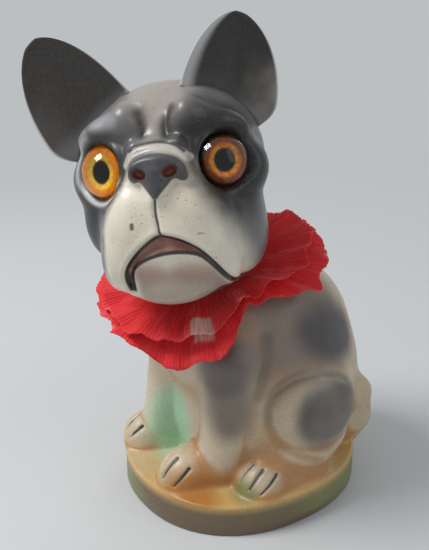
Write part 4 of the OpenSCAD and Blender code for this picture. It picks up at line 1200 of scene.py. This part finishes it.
def crepePaper(patchTurn, patchShare):
    # deep red, faded along the crinkles, with one place rubbed pale
    f = Finish("crepePaper")
    lay = f.node("ShaderNodeCombineXYZ")
    f.put(lay.inputs[0], f.times(f.mask("turn"), 0.02))
    f.put(lay.inputs[1], f.times(f.mask("share"), 0.02))
    along = f.noise(60, 4, 0.6, lay.outputs[0])
    n, fine = f.noise(60, 4), f.noise(500, 4)
    colour = f.mix(f.ramp(n, 0.4, 0.75), crepe["red"], crepe["faded"])
    colour = f.mix(f.ramp(along, 0.45, 0.75, 0, 0.5), colour, crepe["crinkle"])
    ragged = f.times(f.centred(along), 9.0)
    across = f.ramp(f.math("ABSOLUTE", f.plus(f.math("SUBTRACT", f.mask("turn"), patchTurn), ragged)), 7.5, 4.5)
    down = f.ramp(f.math("ABSOLUTE", f.math("SUBTRACT", f.mask("share"), patchShare)), 0.27, 0.19)
    worn = f.times(f.times(across, down), f.ramp(along, 0.35, 0.6, 0.45, 1.0))
    colour = f.mix(worn, colour, crepe["rubbed"])
    edge = f.times(f.maskRamp("share", 0.8, 1.0), f.ramp(f.plus(n, f.times(fine, 0.4)), 0.78, 0.95, 0, 0.7))
    colour = f.mix(edge, colour, crepe["edge"])
    return f.finish(Base_Color=colour, Roughness=0.72, Normal=f.bump(fine, 0.0004, 0.6), Sheen_Weight=0.25,
                    Sheen_Roughness=0.5, Sheen_Tint=crepe["sheen"])


finishes = {
    "left_eye_iris": irisEnamel("left", 1), "right_eye_iris": irisEnamel("right", -1), "glass": eyeGlass(),
    "pupil": pupilEnamel(),
    "putty": plainFinish("linseedPutty", (0.55, 0.48, 0.36), (0.66, 0.58, 0.44), 500, 0.7),
    "steel": plainFinish("springSteel", (0.30, 0.29, 0.27), (0.42, 0.40, 0.37), 900, 0.35, 1.0),
    "wood": plainFinish("plugWood", (0.42, 0.26, 0.13), (0.58, 0.39, 0.20), 300, 0.6),
    "thread": plainFinish("tieThread", (0.30, 0.01, 0.012), (0.42, 0.02, 0.02), 900, 0.8),
}
for side, name in ((1, "left"), (-1, "right")):
    for piece, node, slot, finish in (
            (makeEyeGlass(name + "EyeDome", side), "glass", "eye_glass", "glass"),
            (makeEnamel(name + "EyeIris", side, eye["pupilR"], eye["r"]), "iris", "amber_enamel", name + "_eye_iris"),
            (makeEnamel(name + "EyePupil", side, 0, eye["pupilR"]), "pupil", "black_enamel", "pupil")):
        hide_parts(name + "_eye_" + node)
        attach(piece, "head")
        dress(piece, finishes[finish])
print("eyes made")

for name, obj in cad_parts.items():
    if name.split("_")[-1] in ("casting", "upper", "lower", "glass", "iris", "pupil"):
        continue
    kind = "putty" if "putty" in name else "wood" if "plug" in name else "thread" if name == "ruff_tie" else "steel"
    dress(obj, finishes[kind])
for coil in coils:
    dress(coil, finishes["steel"])
for node, ply in plies.items():
    dress(ply, crepePaper(*crepe["rubbedAt"][node]))
print("finishes on")


def plainlySeen(tree):
    # 1 for rays from the camera, straight or by way of gloss or glass
    rays = tree.nodes.new("ShaderNodeLightPath")
    seen = rays.outputs["Is Camera Ray"]
    for kind in ("Is Glossy Ray", "Is Transmission Ray"):
        either = tree.nodes.new("ShaderNodeMath")
        either.operation = "MAXIMUM"
        tree.links.new(seen, either.inputs[0])
        tree.links.new(rays.outputs[kind], either.inputs[1])
        seen = either.outputs[0]
    return seen


def makeFloor():
    # a square of paper; far off it fades into the plain tone that the world shows, so no edge is seen
    h = look["floorHalf"]
    mesh = bpy.data.meshes.new("studioFloor")
    mesh.from_pydata([(-h, -h, 0), (h, -h, 0), (h, h, 0), (-h, h, 0)], [], [(0, 1, 2, 3)])
    floor = bpy.data.objects.new("studioFloor", mesh)
    scene.collection.objects.link(floor)
    f = Finish("floorPaper")
    away = f.node("ShaderNodeVectorMath", operation="LENGTH")
    f.put(away.inputs[0], f.place)
    glow = f.node("ShaderNodeEmission")
    f.put(glow.inputs["Color"], look["backColour"])
    blend = f.node("ShaderNodeMixShader")
    f.put(blend.inputs[0], f.times(f.ramp(away.outputs["Value"], *look["fade"]), plainlySeen(f.tree)))
    paler = tuple(c * 1.04 for c in look["floorColour"])
    f.finish(Base_Color=f.mix(f.noise(6, 2), look["floorColour"], paler), Roughness=0.8)
    f.tree.links.new(f.shader.outputs[0], blend.inputs[1])
    f.tree.links.new(glow.outputs[0], blend.inputs[2])
    f.tree.links.new(blend.outputs[0], f.tree.nodes["Material Output"].inputs["Surface"])
    dress(floor, f.material)


def makeWorld():
    # an even sky to light by, and the floor's far tone for what is seen
    world = bpy.data.worlds.new("studioWorld")
    world.use_nodes = True
    tree = world.node_tree
    light = tree.nodes["Background"]
    light.inputs["Color"].default_value = (*look["skyColour"], 1)
    light.inputs["Strength"].default_value = look["skyStrength"]
    plain = tree.nodes.new("ShaderNodeBackground")
    plain.inputs["Color"].default_value = (*look["backColour"], 1)
    blend = tree.nodes.new("ShaderNodeMixShader")
    tree.links.new(plainlySeen(tree), blend.inputs[0])
    tree.links.new(light.outputs[0], blend.inputs[1])
    tree.links.new(plain.outputs[0], blend.inputs[2])
    tree.links.new(blend.outputs[0], tree.nodes["World Output"].inputs["Surface"])
    scene.world = world


makeFloor()
makeWorld()
print("floor and world made")
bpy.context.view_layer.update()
print("scene ready")
